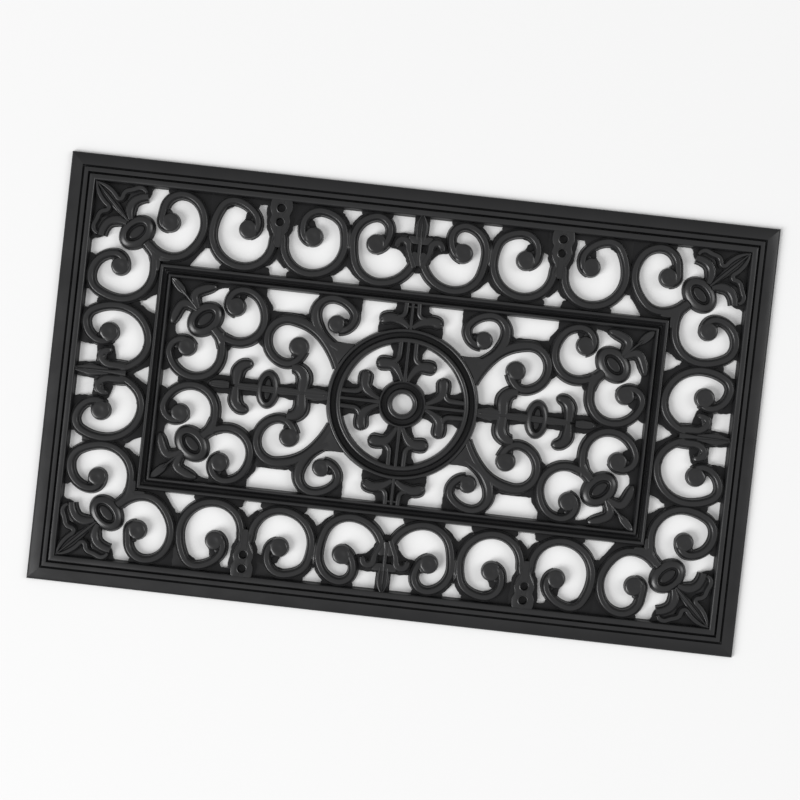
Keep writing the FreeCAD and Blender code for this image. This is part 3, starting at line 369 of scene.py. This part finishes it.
OUTER_PALMETTE = Motif(
    middle=[Bar((0, 80), 90, [(0, 108)], 2.6, 8.5, widths=((0, 1.2), (1, 1)))],
    sides=[Bar((-2, 82), 138, [(-10, 87.6), (-19.5, 90.6), (-28, 89)], 6.9,
               widths=((0, 0.6), (0.4, 0.95), (0.75, 1.02), (1, 0.95)), rounded=True),
           Bar((-6.7, 108), -90, [(-7, 99), (-15, 92.5)], 3.2, 8.1, "ridge"),
           Bar((-8, 104.5), 0, [(0, 104.5)], 1.8, 7.6, "ridge")],
    webs=[[(0, 108), (0, 76), (-20, 76), (-34.5, 74), (-33.5, 82), (-33, 87), (-20, 98), (-17, 101),
           (-16.4, 104), (-17.5, 107.5)]],
    dots=[((-32.4, 87), 1.5, 8.6), ((32.4, 87), 1.5, 8.6)])
CROSS = Motif(
    middle=[Bar((-186, 0), 180, [(-207.5, 0)], 5.2, 7.9, "leaf",
                widths=((0, 0.75), (0.4, 1), (0.75, 0.9), (1, 0.4))),
            Bar((-180, 0), 0, [(-106, 0)], 4.4, 7.8, "leaf"),
            Bar((-106, 0), 0, [(-80, 0)], 7.4, 7.8, "leaf", widths=((0, 0.8), (0.4, 1), (1, 0.7)))],
    sides=[Bar((-178.6, 1.5), 92, [(-178.6, 13), (-168, 24.4)], 5.6, 8.4,
               widths=((0, 1), (0.4, 1.3), (0.7, 1.15), (1, 0.75)), rounded=True),
           Bar((-107.8, 1.5), 88, [(-107, 12), (-121.3, 26)], 7.2, 8.4,
               widths=((0, 1), (0.5, 1.15), (1, 0.8)))],
    webs=[[(-210, 0), (-206, 8), (-197, 8.8), (-184, 8.8), (-168, 8.2), (-160, 8), (-128, 6), (-119, 8),
           (-98, 8.6), (-86, 8.4), (-80, 10), (-78, 0)]],
    bosses=[((-144.6, 0), COLLAR_PROFILE, (20.4, 12.6), 90)],
    dots=[((-205.6, 0), 1.4, 8.5), ((-84, 0), 1.4, 8.5)])


def linear(colour):
    """Linear colour with alpha from an sRGB hex value."""
    shares = [int(colour[place:place + 2], 16) / 255 for place in (1, 3, 5)]
    return [s / 12.92 if s <= 0.04045 else ((s + 0.055) / 1.055) ** 2.4 for s in shares] + [1.0]


def add(tree, kind, settings=None, **values):
    """New node with its settings; a value is a constant or an output to link from, and a name
    such as _0 stands for an input's number."""
    node = tree.nodes.new(kind)
    for name, setting in (settings or {}).items():
        setattr(node, name, setting)
    for name, value in values.items():
        socket = node.inputs[int(name[1:])] if name[0] == "_" else node.inputs[name.replace("_", " ")]
        if isinstance(value, bpy.types.NodeSocket):
            tree.links.new(value, socket)
        else:
            socket.default_value = value
    return node


# Lines along the bars

def walk(start, aim, line, step):
    """Points along tangent arcs through the points of a line."""
    place = np.array(start, float)
    heading = math.radians(aim)
    points = [place]
    for target in np.array(line, float):
        ahead = np.array((math.cos(heading), math.sin(heading)))
        side = np.array((-ahead[1], ahead[0]))
        chord = target - place
        bend = chord @ side
        turn = 2 * math.atan2(bend, chord @ ahead)
        if abs(turn) < STRAIGHT:
            count = max(1, round(np.hypot(*chord) / step))
            points += [place + chord * k / count for k in range(1, count + 1)]
        else:
            radius = chord @ chord / (2 * bend)
            count = max(2, round(abs(radius * turn) / step))
            centre = place + side * radius
            arm = place - centre
            across = np.array((-arm[1], arm[0]))
            for k in range(1, count + 1):
                angle = turn * k / count
                points.append(centre + (arm * math.cos(angle) + across * math.sin(angle)))
            heading += turn
        place = target
    return np.array(points)


def shares_along(points, one_bar):
    """Width and height shares at each point, drawn in to a round end where the bar has one."""
    walked = np.concatenate([[0], np.cumsum(np.hypot(*np.diff(points, axis=0).T))])
    widths = np.interp(walked / walked[-1], *zip(*one_bar.widths))
    heights = np.interp(walked / walked[-1], *zip(*one_bar.heights))
    if one_bar.rounded:
        reach = np.clip((walked - walked[-1] + one_bar.half_width) / one_bar.half_width, 0, TIP)
        left = np.sqrt(1 - reach ** 2)
        widths = widths * left
        heights = heights * (END_HEIGHT + (1 - END_HEIGHT) * left)
    return widths, heights


def bar_line(one_bar):
    """Points and shares of a bar, with extra points where it ends round."""
    points = walk(one_bar.start, one_bar.aim, one_bar.line, BAR_STEP)
    if one_bar.rounded:
        ahead = points[-1] - points[-2]
        reach = ahead / np.hypot(*ahead) * one_bar.half_width
        points = np.vstack([points, [points[-1] + reach * share for share in ROUND_END]])
    return (points, *shares_along(points, one_bar))


# Bars swept by a geometry node tree

def sweep_tree():
    """Bars along lines: a section scaled by the width and height shares stored on each line."""
    tree = bpy.data.node_groups.new(SWEEP, "GeometryNodeTree")
    inputs = {"Line": "Geometry", "Section": "Object", "Half Width": "Float", "Height": "Float",
              "Finish": "Material"}
    for name, kind in inputs.items():
        socket = tree.interface.new_socket(name, in_out="INPUT", socket_type="NodeSocket" + kind)
        if kind == "Float":
            socket.subtype = "DISTANCE"
    tree.interface.new_socket("Bars", in_out="OUTPUT", socket_type="NodeSocketGeometry")
    given = add(tree, "NodeGroupInput").outputs
    width, height = [add(tree, "GeometryNodeInputNamedAttribute", {"data_type": "FLOAT"},
                         Name=name).outputs["Attribute"] for name in ("width_share", "height_share")]
    along = add(tree, "GeometryNodeMeshToCurve", Mesh=given["Line"])
    level = add(tree, "GeometryNodeSetCurveNormal", {"mode": "Z_UP"}, Curve=along.outputs["Curve"])
    section = add(tree, "GeometryNodeObjectInfo", Object=given["Section"])
    outline = add(tree, "GeometryNodeMeshToCurve", Mesh=section.outputs["Geometry"])
    wide = add(tree, "ShaderNodeMath", {"operation": "MULTIPLY"}, _0=width, _1=given["Half Width"])
    swept = add(tree, "GeometryNodeCurveToMesh", Curve=level.outputs["Curve"],
                Profile_Curve=outline.outputs["Curve"], Scale=wide.outputs[0], Fill_Caps=True)
    high = add(tree, "ShaderNodeMath", {"operation": "MULTIPLY"}, _0=height, _1=given["Height"])
    rise = add(tree, "ShaderNodeMath", {"operation": "DIVIDE"}, _0=high.outputs[0], _1=wide.outputs[0])
    place = add(tree, "GeometryNodeInputPosition")
    parts = add(tree, "ShaderNodeSeparateXYZ", _0=place.outputs[0])
    lifted = add(tree, "ShaderNodeMath", {"operation": "MULTIPLY"}, _0=parts.outputs["Z"],
                 _1=rise.outputs[0])
    moved = add(tree, "ShaderNodeCombineXYZ", X=parts.outputs["X"], Y=parts.outputs["Y"],
                Z=lifted.outputs[0])
    raised = add(tree, "GeometryNodeSetPosition", Geometry=swept.outputs["Mesh"],
                 Position=moved.outputs[0])
    real = add(tree, "GeometryNodeRealizeInstances", Geometry=raised.outputs["Geometry"])
    dressed = add(tree, "GeometryNodeSetMaterial", Geometry=real.outputs["Geometry"],
                  Material=given["Finish"])
    add(tree, "NodeGroupOutput", _0=dressed.outputs["Geometry"])
    return tree


def temporary(name, points, edges):
    """Loose edge mesh object that only feeds a tree."""
    mesh = bpy.data.meshes.new(name)
    mesh.from_pydata([tuple(point) for point in points], edges, [])
    thing = bpy.data.objects.new(name, mesh)
    bpy.context.collection.objects.link(thing)
    return thing


def discard(thing):
    """Remove a temporary object and its mesh."""
    mesh = thing.data
    bpy.data.objects.remove(thing)
    bpy.data.meshes.remove(mesh)


def section_object(name):
    """Closed ring of one cross section."""
    ring = SECTIONS[name]
    count = len(ring)
    return temporary("section_" + name, [(across, -up, 0) for across, up in ring],
                     [(k, (k + 1) % count) for k in range(count)])


def swept_bars(bars):
    """Plain mesh data of bars that share one section, half width and height."""
    points, edges, widths, heights = [], [], [], []
    for one_bar in bars:
        line, wide, high = bar_line(one_bar)
        edges += [(len(points) + k, len(points) + k + 1) for k in range(len(line) - 1)]
        points += [(x * MM, y * MM, 0) for x, y in line]
        widths += list(wide)
        heights += list(high)
    lines = temporary("bar_lines", points, edges)
    for name, values in (("width_share", widths), ("height_share", heights)):
        lines.data.attributes.new(name, "FLOAT", "POINT").data.foreach_set("value", values)
    section = section_object(bars[0].section)
    tree = bpy.data.node_groups.get(SWEEP) or sweep_tree()
    modifier = lines.modifiers.new("Bars", "NODES")
    modifier.node_group = tree
    values = {"Section": section, "Half Width": bars[0].half_width * MM, "Height": bars[0].height * MM,
              "Finish": rubber()}
    for item in tree.interface.items_tree:
        if item.name in values:
            modifier[item.identifier] = values[item.name]
    bpy.context.view_layer.update()
    depsgraph = bpy.context.evaluated_depsgraph_get()
    mesh = bpy.data.meshes.new_from_object(lines.evaluated_get(depsgraph))
    data = mesh_data(mesh)
    bpy.data.meshes.remove(mesh)
    discard(lines)
    discard(section)
    return data


def mesh_data(mesh):
    """Places and faces of a mesh."""
    places = np.empty(len(mesh.vertices) * 3)
    mesh.vertices.foreach_get("co", places)
    return places.reshape(-1, 3), [list(polygon.vertices) for polygon in mesh.polygons]


def all_bars(bars):
    """Mesh data of any bars, one sweep for each kind."""
    kinds = {}
    for one_bar in bars:
        kinds.setdefault((one_bar.section, one_bar.half_width, one_bar.height), []).append(one_bar)
    return [swept_bars(kind) for kind in kinds.values()]


# Closed shells made point by point

def band(low, high, count):
    """Faces between two rings of points, from the first number of each ring."""
    return [[low + k, low + (k + 1) % count, high + (k + 1) % count, high + k] for k in range(count)]


def turned(centre, profile, radii, angle=0.0, count=48, relief=None, lift=1.0):
    """Boss over an ellipse from its foot to its middle; its long way lies at an angle in degrees."""
    angle = math.radians(angle)
    turns = np.linspace(0, 2 * math.pi, count, endpoint=False)
    long_way = np.array((math.cos(angle), math.sin(angle)))
    side = np.array((-long_way[1], long_way[0]))
    rings = []
    for share, up in profile[:-1]:
        height = up * lift
        drawn_in = min(radii) * (1 - share)
        flat = (np.array(centre) + np.outer(np.cos(turns) * (radii[0] - drawn_in), long_way)
                + np.outer(np.sin(turns) * (radii[1] - drawn_in), side))
        rise = np.full(count, float(height))
        if relief is not None:
            rise = np.maximum(rise - relief(flat), min(height, 1.0))
        rings.append(np.column_stack([flat, rise]))
    places = np.vstack(rings + [[(*centre, profile[-1][1] * lift)]])
    faces = [list(range(count))[::-1]]
    last = (len(rings) - 1) * count
    for low in range(0, last, count):
        faces += band(low, low + count, count)
    faces += [[last + k, last + (k + 1) % count, len(places) - 1] for k in range(count)]
    return places * MM, faces


def lathed(profile, count):
    """Ring turned about the centre of the mat."""
    turns = np.linspace(0, 2 * math.pi, count, endpoint=False)
    places = np.array([(out * math.cos(a), out * math.sin(a), up) for a in turns for out, up in profile])
    size = len(profile)
    faces = []
    for k in range(count):
        faces += band(k * size, (k + 1) % count * size, size)
    return places * MM, faces


def eye_boss(one_scroll):
    """Low round boss; a groove curls in from the pit where the bar meets it."""
    centre, radius = np.array(one_scroll.eye), one_scroll.eye_radius
    pit, hand = eye_pit(one_scroll)
    first = math.atan2(*(pit - centre)[::-1])

    def groove(flat):
        arm = flat - centre
        out = np.hypot(*arm.T)
        turn = (hand * (np.arctan2(arm[:, 1], arm[:, 0]) - first)) % (2 * math.pi)
        target = radius * (GROOVE_SHARES[0] - GROOVE_SHARES[1] * turn / (1.5 * math.pi))
        depth = np.interp(turn, (0, 0.5 * math.pi, 1.3 * math.pi), GROOVE_DEPTHS)
        sunk = depth * np.exp(-((out - target) / GROOVE_WIDTH) ** 2)
        return sunk + PIT_DEPTH * np.exp(-(np.hypot(*(flat - pit).T) / PIT_WIDTH) ** 2)

    return turned(one_scroll.eye, EYE_PROFILE, (radius, radius), relief=groove, count=64)


def eye_pit(one_scroll):
    """Place where the bar's inner edge meets its eye, and the hand of the curl."""
    centre = np.array(one_scroll.eye)
    line = walk(one_scroll.bar.start, one_scroll.bar.aim, one_scroll.bar.line, EYE_STEP)
    ahead = np.gradient(line, axis=0)
    ahead /= np.hypot(*ahead.T)[:, None]
    side = np.column_stack([-ahead[:, 1], ahead[:, 0]])
    late = len(line) // 2
    hand = 1.0 if (centre - line[-1]) @ side[-1] > 0 else -1.0
    inner = line + hand * side * one_scroll.bar.half_width
    inside = np.hypot(*(inner[late:] - centre).T) < one_scroll.eye_radius
    return inner[late + int(np.argmax(inside))], hand


def softened(points):
    """Outline in short steps with soft corners, and its outward normals."""
    area = sum(a[0] * b[1] - b[0] * a[1] for a, b in zip(points, points[1:] + points[:1]))
    corners = np.array(points if area > 0 else points[::-1], float)
    steps = []
    for here, there in zip(corners, np.roll(corners, -1, axis=0)):
        count = max(1, round(np.hypot(*(there - here)) / OUTLINE_STEP))
        steps += [here + (there - here) * k / count for k in range(count)]
    line = np.array(steps)
    for _ in range(3):
        line = line * 0.5 + (np.roll(line, 1, axis=0) + np.roll(line, -1, axis=0)) * 0.25
    edge = np.roll(line, -1, axis=0) - np.roll(line, 1, axis=0)
    return line, np.column_stack([edge[:, 1], -edge[:, 0]]) / np.hypot(*edge.T)[:, None]


def raised_sheet(line, normal, height, bevel):
    """Sheet with a rounded upper edge inside an outline."""
    levels = [(0.0, 0.0), (0.0, height - bevel), (bevel * 0.3, height - bevel * 0.3), (bevel, height)]
    rings = [np.column_stack([line - normal * inset, np.full(len(line), level)]) for inset, level in levels]
    count = len(line)
    faces = [list(range(count))[::-1], [3 * count + k for k in range(count)]]
    for low in (0, count, 2 * count):
        faces += band(low, low + count, count)
    return np.vstack(rings) * MM, faces


def web_plate(points, height, seed):
    """Thin web that spreads a little beyond its outline, with a ragged edge and a level of its own."""
    line, normal = softened(points)
    rng = np.random.default_rng(seed)
    noise = rng.normal(0, WEB_RAGGEDNESS, len(line))
    line = line + normal * (WEB_SPREAD + noise + np.roll(noise, 1))[:, None]
    return raised_sheet(line, normal, height + rng.uniform(0, WEB_LEVELS), WEB_BEVEL)


def body_plate(points, height):
    """Raised body between ridges."""
    return raised_sheet(*softened(points), height, PLATE_BEVEL)


def rail(length, width, profile, quarter_turn=False):
    """Mitred rail at the back of a frame, or at its left after a quarter turn."""
    half, out = length / 2, width / 2
    size = len(profile)
    rows = []
    for k in range(RAIL_CUTS + 1):
        share = 2 * k / RAIL_CUTS - 1
        rows += [((half - inward) * share, out - inward, up) for inward, up in profile]
    places = np.array(rows)
    faces = [list(range(size)), [RAIL_CUTS * size + j for j in range(size)][::-1]]
    for k in range(RAIL_CUTS):
        here, there = k * size, (k + 1) * size
        faces += [[here + j, there + j, there + (j + 1) % size, here + (j + 1) % size]
                  for j in range(size)]
    if quarter_turn:
        places = places[:, [1, 0, 2]] * (-1, 1, 1)
    return places * MM, faces


# Mirrors

def mirrored(data, signs):
    """Mesh data mirrored across the mat's own axes."""
    places, faces = data
    if signs[0] * signs[1] < 0:
        faces = [face[::-1] for face in faces]
    return places * (signs[0], signs[1], 1), faces


def across_line(signs, place=(0.0, 0.0)):
    """Mirror for mesh data across a line along an axis through a place."""
    shift = np.array((*place, 0.0)) * MM

    def mirror(data):
        places, faces = mirrored((data[0] - shift, data[1]), signs)
        return places + shift, faces
    return mirror


def across_diagonal(place):
    """Mirror for mesh data across the diagonal through a place."""
    shift = np.array((*place, 0.0)) * MM

    def mirror(data):
        shifted = data[0] - shift
        swapped = np.column_stack([-shifted[:, 1], -shifted[:, 0], shifted[:, 2]])
        return swapped + shift, [face[::-1] for face in data[1]]
    return mirror


# Pieces

def piece(node, shells):
    """One finished piece from closed shells: it replaces its node's solids and rides with the mat."""
    places, faces, start = [], [], 0
    for shell_places, shell_faces in shells:
        places.append(shell_places)
        faces += [[index + start for index in face] for face in shell_faces]
        start += len(shell_places)
    mesh = bpy.data.meshes.new("moulded_" + node)
    mesh.from_pydata(np.vstack(places).tolist(), [], faces)
    shape = bmesh.new()
    shape.from_mesh(mesh)
    bmesh.ops.recalc_face_normals(shape, faces=shape.faces)
    shape.to_mesh(mesh)
    shape.free()
    mesh.shade_smooth()
    mesh.set_sharp_from_angle(angle=math.radians(SHARP_ANGLE))
    mesh.materials.append(rubber())
    thing = bpy.data.objects.new("moulded_" + node, mesh)
    bpy.context.collection.objects.link(thing)
    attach(thing, "root")
    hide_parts(node)


def in_quarters(name, shells):
    """A piece in each quarter, each a hair lower than the last so that no two webs share a plane."""
    for place, (quarter, signs) in enumerate(QUARTERS.items()):
        level = (1, 1, 1 - QUARTER_DROP * place)
        piece(quarter + "_" + name, [mirrored((places * level, faces), signs) for places, faces in shells])


def in_halves(name, shells, halves):
    """A piece and its mirror image, at the back and front or at the left and right."""
    for half, signs in halves.items():
        piece(name + "_" + half, [mirrored(shell, signs) for shell in shells])


def scroll_shells(scrolls, seed):
    """Closed shells of scrolls: bars, eyes, pits and webs."""
    shells = all_bars([one.bar for one in scrolls])
    shells += [eye_boss(one) for one in scrolls]
    shells += [turned(eye_pit(one)[0], PIT_PROFILE, (PIT_RADIUS, PIT_RADIUS), count=24) for one in scrolls]
    web_height = bpy.context.scene.doormat_sizes.web_height / MM
    for place, one in enumerate(scrolls):
        shells += [web_plate(web, web_height, seed + 10 * place + k) for k, web in enumerate(one.webs)]
    return shells


def motif_shells(motif, other_half, seed):
    """Closed shells of a motif: what lies on its axis, then its two halves."""
    web_height = bpy.context.scene.doormat_sizes.web_height / MM
    half = all_bars(motif.sides) + [body_plate(*plate) for plate in motif.plates]
    half += [web_plate(web, web_height, seed + k) for k, web in enumerate(motif.webs)]
    shells = all_bars(motif.middle) + half + [other_half(shell) for shell in half]
    shells += [turned(*boss) for boss in motif.bosses]
    shells += [turned(centre, DOT_PROFILE, (radius, radius), count=16, lift=height)
               for centre, radius, height in motif.dots]
    return shells


# Finish

def rubber():
    """Compression moulded black rubber: nearly black and glossy on the rounded edges; low surfaces reflect
    less, which paints shade into the hollows between the bars.
    """
    known = bpy.data.materials.get(RUBBER)
    if known:
        return known
    colours = bpy.context.scene.doormat_colours
    material = bpy.data.materials.new(RUBBER)
    material.use_nodes = True
    tree = material.node_tree
    tree.nodes.clear()
    place = add(tree, "ShaderNodeTexCoord").outputs["Object"]
    # The moulded grain is about 0.2 mm across, and drawn as coarse as it needs to show
    grain = add(tree, "ShaderNodeTexNoise", Vector=place, Scale=1 / (GRAIN * MM), Detail=3.0,
                Roughness=0.6)
    # Handling marks and mould release
    marks = add(tree, "ShaderNodeTexNoise", Vector=place, Scale=1 / (MARKS * MM), Detail=4.0,
                Roughness=0.62)
    tone = add(tree, "ShaderNodeMix", {"data_type": "RGBA"}, _0=marks.outputs["Fac"],
               _6=tuple(colours.rubber) + (1.0,), _7=tuple(colours.bloom) + (1.0,))
    dull = add(tree, "ShaderNodeMapRange", Value=marks.outputs["Fac"], From_Min=0.3, From_Max=0.7,
               To_Min=0.27, To_Max=0.38)
    # Low surfaces reflect less: painted shade in the hollows between the bars, and partly a duller finish on
    # the webs
    height = add(tree, "ShaderNodeSeparateXYZ", _0=place).outputs["Z"]
    sheen_with_painted_shade = add(tree, "ShaderNodeMapRange", Value=height, From_Min=0.0034, From_Max=0.0068,
                To_Min=0.18, To_Max=0.46)
    bump = add(tree, "ShaderNodeBump", Strength=0.25, Distance=0.00012, Height=grain.outputs["Fac"])
    shader = add(tree, "ShaderNodeBsdfPrincipled", Base_Color=tone.outputs[2], Roughness=dull.outputs[0],
                 Normal=bump.outputs[0], IOR=1.5, Specular_IOR_Level=sheen_with_painted_shade.outputs[0])
    add(tree, "ShaderNodeOutputMaterial", Surface=shader.outputs[0])
    return material


def painted_board():
    """Board painted matt white: it mirrors nothing and shows the mat's soft shadow."""
    material = bpy.data.materials.new("Matt white board")
    material.use_nodes = True
    shader = material.node_tree.nodes["Principled BSDF"]
    shader.inputs["Base Color"].default_value = tuple(bpy.context.scene.doormat_colours.floor) + (1.0,)
    shader.inputs["Roughness"].default_value = 0.9
    shader.inputs["Specular IOR Level"].default_value = 0.1
    return material


class DoormatSizes(bpy.types.PropertyGroup):
    web_height: bpy.props.FloatProperty(
        name="Web Height", description="Thickness of the thin sheets between the bars",
        default=0.003, min=0.001, max=0.006, subtype="DISTANCE", unit="LENGTH")
    camera_height: bpy.props.FloatProperty(
        name="Camera Height", description="Height of the camera above the floor",
        default=1.7125, subtype="DISTANCE", unit="LENGTH")


class DoormatColours(bpy.types.PropertyGroup):
    rubber: bpy.props.FloatVectorProperty(
        name="Rubber", description="Colour of the moulded rubber",
        default=linear("#151516")[:3], size=3, subtype="COLOR", min=0, max=1)
    bloom: bpy.props.FloatVectorProperty(
        name="Bloom", description="Colour of the dull marks on the rubber",
        default=linear("#1b1b1c")[:3], size=3, subtype="COLOR", min=0, max=1)
    floor: bpy.props.FloatVectorProperty(
        name="Floor", description="Colour of the pale floor",
        default=linear("#d9d9d9")[:3], size=3, subtype="COLOR", min=0, max=1)


class Builder:
    """Common settings of the operators."""
    bl_options = {"REGISTER", "UNDO"}


class DOORMAT_OT_frames(Builder, bpy.types.Operator):
    """Build the mitred rails of the border and of the panel frame"""
    bl_idname = "doormat.frames"
    bl_label = "Frames"

    def execute(self, context):
        for name, length, width, profile in (("border_rail", MAT_LENGTH, MAT_WIDTH, BORDER_PROFILE),
                                             ("panel_rail", PANEL_LENGTH, PANEL_WIDTH, PANEL_PROFILE)):
            in_halves(name, [rail(length, width, profile)], BACK_AND_FRONT)
            in_halves(name, [rail(width, length, profile, quarter_turn=True)], LEFT_AND_RIGHT)
        return {"FINISHED"}


class DOORMAT_OT_border_scrolls(Builder, bpy.types.Operator):
    """Build the scrolls of the border band"""
    bl_idname = "doormat.border_scrolls"
    bl_label = "Border Scrolls"

    def execute(self, context):
        scrolls = {"corner_scroll_long": CORNER_LONG, "corner_scroll_short": CORNER_SHORT,
                   "clasp_scroll_outer": CLASP_OUTER, "clasp_scroll_inner": CLASP_INNER,
                   "centre_scroll": CENTRE, "side_scroll": SIDE}
        for place, (name, one) in enumerate(scrolls.items()):
            shells = scroll_shells([one], seed=100 * place)
            if name == "centre_scroll":
                shells += all_bars([MERGE]) + [body_plate(CENTRE_FILL, 8.0)]
            in_quarters(name, shells)
        return {"FINISHED"}


class DOORMAT_OT_corner_fleurs(Builder, bpy.types.Operator):
    """Build the fleurs in the corners of the border band"""
    bl_idname = "doormat.corner_fleurs"
    bl_label = "Corner Fleurs"

    def execute(self, context):
        mirror = across_diagonal(BORDER_FLEUR.middle[0].start)
        in_quarters("corner_fleur", motif_shells(BORDER_FLEUR, mirror, seed=1000))
        return {"FINISHED"}


class DOORMAT_OT_panel_sprays(Builder, bpy.types.Operator):
    """Build the sprays in the corners of the panel: a fleur with two scrolls"""
    bl_idname = "doormat.panel_sprays"
    bl_label = "Panel Sprays"

    def execute(self, context):
        mirror = across_diagonal(PANEL_FLEUR.middle[0].start)
        fleur = motif_shells(PANEL_FLEUR, mirror, seed=1100)
        in_quarters("panel_spray", fleur + scroll_shells([SPRAY_LONG, SPRAY_SHORT], seed=1200))
        return {"FINISHED"}


class DOORMAT_OT_panel_branches(Builder, bpy.types.Operator):
    """Build the branches that grow out of the medallion"""
    bl_idname = "doormat.panel_branches"
    bl_label = "Panel Branches"

    def execute(self, context):
        shells = scroll_shells([BRANCH_OUTER, BRANCH_INNER], seed=1300)
        in_quarters("panel_branch", shells + [body_plate(BRANCH_ROOT, 8.05)])
        return {"FINISHED"}


class DOORMAT_OT_clasps(Builder, bpy.types.Operator):
    """Build the lobed clasps with two blind holes each"""
    bl_idname = "doormat.clasps"
    bl_label = "Clasps"

    def execute(self, context):
        mirror = across_line((-1, 1), CLASP.middle[0].start)
        in_quarters("clasp", motif_shells(CLASP, mirror, seed=1400))
        return {"FINISHED"}


class DOORMAT_OT_side_fleurs(Builder, bpy.types.Operator):
    """Build the fleurs in the middle of each side"""
    bl_idname = "doormat.side_fleurs"
    bl_label = "Side Fleurs"

    def execute(self, context):
        back = motif_shells(BACK_FLEUR, across_line((-1, 1)), seed=1500)
        in_halves("border_fleur", back, BACK_AND_FRONT)
        left = motif_shells(LEFT_FLEUR, across_line((1, -1)), seed=1500)
        in_halves("border_fleur", left, LEFT_AND_RIGHT)
        return {"FINISHED"}


class DOORMAT_OT_medallion(Builder, bpy.types.Operator):
    """Build the ring, the hub and the palmettes in the middle of the mat"""
    bl_idname = "doormat.medallion"
    bl_label = "Medallion"

    def execute(self, context):
        piece("medallion_ring", [lathed(RING_PROFILE, 180)])
        piece("medallion_hub", [lathed(HUB_PROFILE, 96)])
        inner = motif_shells(INNER_PALMETTE, across_line((-1, 1)), seed=1600)
        four = []
        for turn in range(4):
            spin = np.array(Matrix.Rotation(turn * math.pi / 2, 3, "Z"))
            four += [(np.round(places @ spin.T, 9), faces) for places, faces in inner]
        piece("medallion_palmettes", four)
        outer = motif_shells(OUTER_PALMETTE, across_line((-1, 1)), seed=1700)
        in_halves("palmette", outer, BACK_AND_FRONT)
        return {"FINISHED"}


class DOORMAT_OT_cross_motifs(Builder, bpy.types.Operator):
    """Build the spears with hooks, oval boss and arms on the long axis"""
    bl_idname = "doormat.cross_motifs"
    bl_label = "Cross Motifs"

    def execute(self, context):
        cross = motif_shells(CROSS, across_line((1, -1)), seed=1800)
        in_halves("cross_motif", cross, LEFT_AND_RIGHT)
        return {"FINISHED"}


# Stage, in metres, degrees and watts; the camera is fitted to the photo's four corners of the mat
FLOOR_REACH = 40.0
LENS = 72.0
SENSOR = 36.0
CAMERA_X = 0.01042
CAMERA_Y = 0.02859
CAMERA_TURNS = (-0.7613, 0.5338, 6.3895)
SKY_STRENGTH = 0.62


def floor_mesh():
    """Wide square that lies under the mat."""
    mesh = bpy.data.meshes.new("floor")
    corners = [(x * FLOOR_REACH, y * FLOOR_REACH, 0) for x, y in ((-1, -1), (1, -1), (1, 1), (-1, 1))]
    mesh.from_pydata(corners, [], [(0, 1, 2, 3)])
    mesh.materials.append(painted_board())
    return mesh


def softbox(name, place, size, power):
    """Square area lamp that faces the middle of the mat."""
    light = bpy.data.lights.new(name, "AREA")
    light.shape = "SQUARE"
    light.size = size
    light.energy = power
    lamp = bpy.data.objects.new(name, light)
    x, y, z = place
    lamp.location = place
    lamp.rotation_euler = (math.atan2(math.hypot(x, y), z), 0, math.atan2(y, x) + math.pi / 2)
    bpy.context.scene.collection.objects.link(lamp)


class DOORMAT_OT_stage(Builder, bpy.types.Operator):
    """Set the floor, the lights and the camera"""
    bl_idname = "doormat.stage"
    bl_label = "Stage"

    def execute(self, context):
        scene = context.scene
        floor = bpy.data.objects.new("floor", floor_mesh())
        scene.collection.objects.link(floor)
        softbox("Softbox left", (-10.0, -7.2, 7.6), size=8.2, power=2500.0)
        softbox("Softbox right", (10.0, 2.8, 6.6), size=5.2, power=480.0)
        camera = bpy.data.objects.new("Camera", bpy.data.cameras.new("Camera"))
        camera.data.lens = LENS
        camera.data.sensor_width = SENSOR
        camera.location = (CAMERA_X, CAMERA_Y, scene.doormat_sizes.camera_height)
        camera.rotation_euler = [math.radians(turn) for turn in CAMERA_TURNS]
        scene.collection.objects.link(camera)
        scene.camera = camera
        world = bpy.data.worlds.new("Pale studio")
        world.use_nodes = True
        shade = world.node_tree.nodes["Background"]
        shade.inputs["Color"].default_value = (1.0, 1.0, 1.0, 1.0)
        shade.inputs["Strength"].default_value = SKY_STRENGTH
        scene.world = world
        scene.view_settings.view_transform = "Standard"
        return {"FINISHED"}


OPERATORS = (DOORMAT_OT_frames, DOORMAT_OT_border_scrolls, DOORMAT_OT_corner_fleurs, DOORMAT_OT_clasps,
             DOORMAT_OT_side_fleurs, DOORMAT_OT_panel_sprays, DOORMAT_OT_panel_branches,
             DOORMAT_OT_medallion, DOORMAT_OT_cross_motifs, DOORMAT_OT_stage)


class DOORMAT_PT_panel(bpy.types.Panel):
    """Sidebar list of the doormat's builders"""
    bl_label = "Rubber Doormat"
    bl_idname = "DOORMAT_PT_panel"
    bl_space_type = "VIEW_3D"
    bl_region_type = "UI"
    bl_category = "Doormat"

    def draw(self, context):
        for group in (context.scene.doormat_sizes, context.scene.doormat_colours):
            for name in group.__annotations__:
                self.layout.prop(group, name)
        for operator in OPERATORS:
            self.layout.operator(operator.bl_idname)


CLASSES = (DoormatSizes, DoormatColours, *OPERATORS, DOORMAT_PT_panel)


def register():
    for one in CLASSES:
        bpy.utils.register_class(one)
    bpy.types.Scene.doormat_sizes = bpy.props.PointerProperty(type=DoormatSizes)
    bpy.types.Scene.doormat_colours = bpy.props.PointerProperty(type=DoormatColours)


def unregister():
    del bpy.types.Scene.doormat_colours
    del bpy.types.Scene.doormat_sizes
    for one in reversed(CLASSES):
        bpy.utils.unregister_class(one)


def main():
    register()
    for operator in OPERATORS:
        getattr(bpy.ops.doormat, operator.bl_idname.split(".")[1])()


if __name__ == "__main__":
    main()
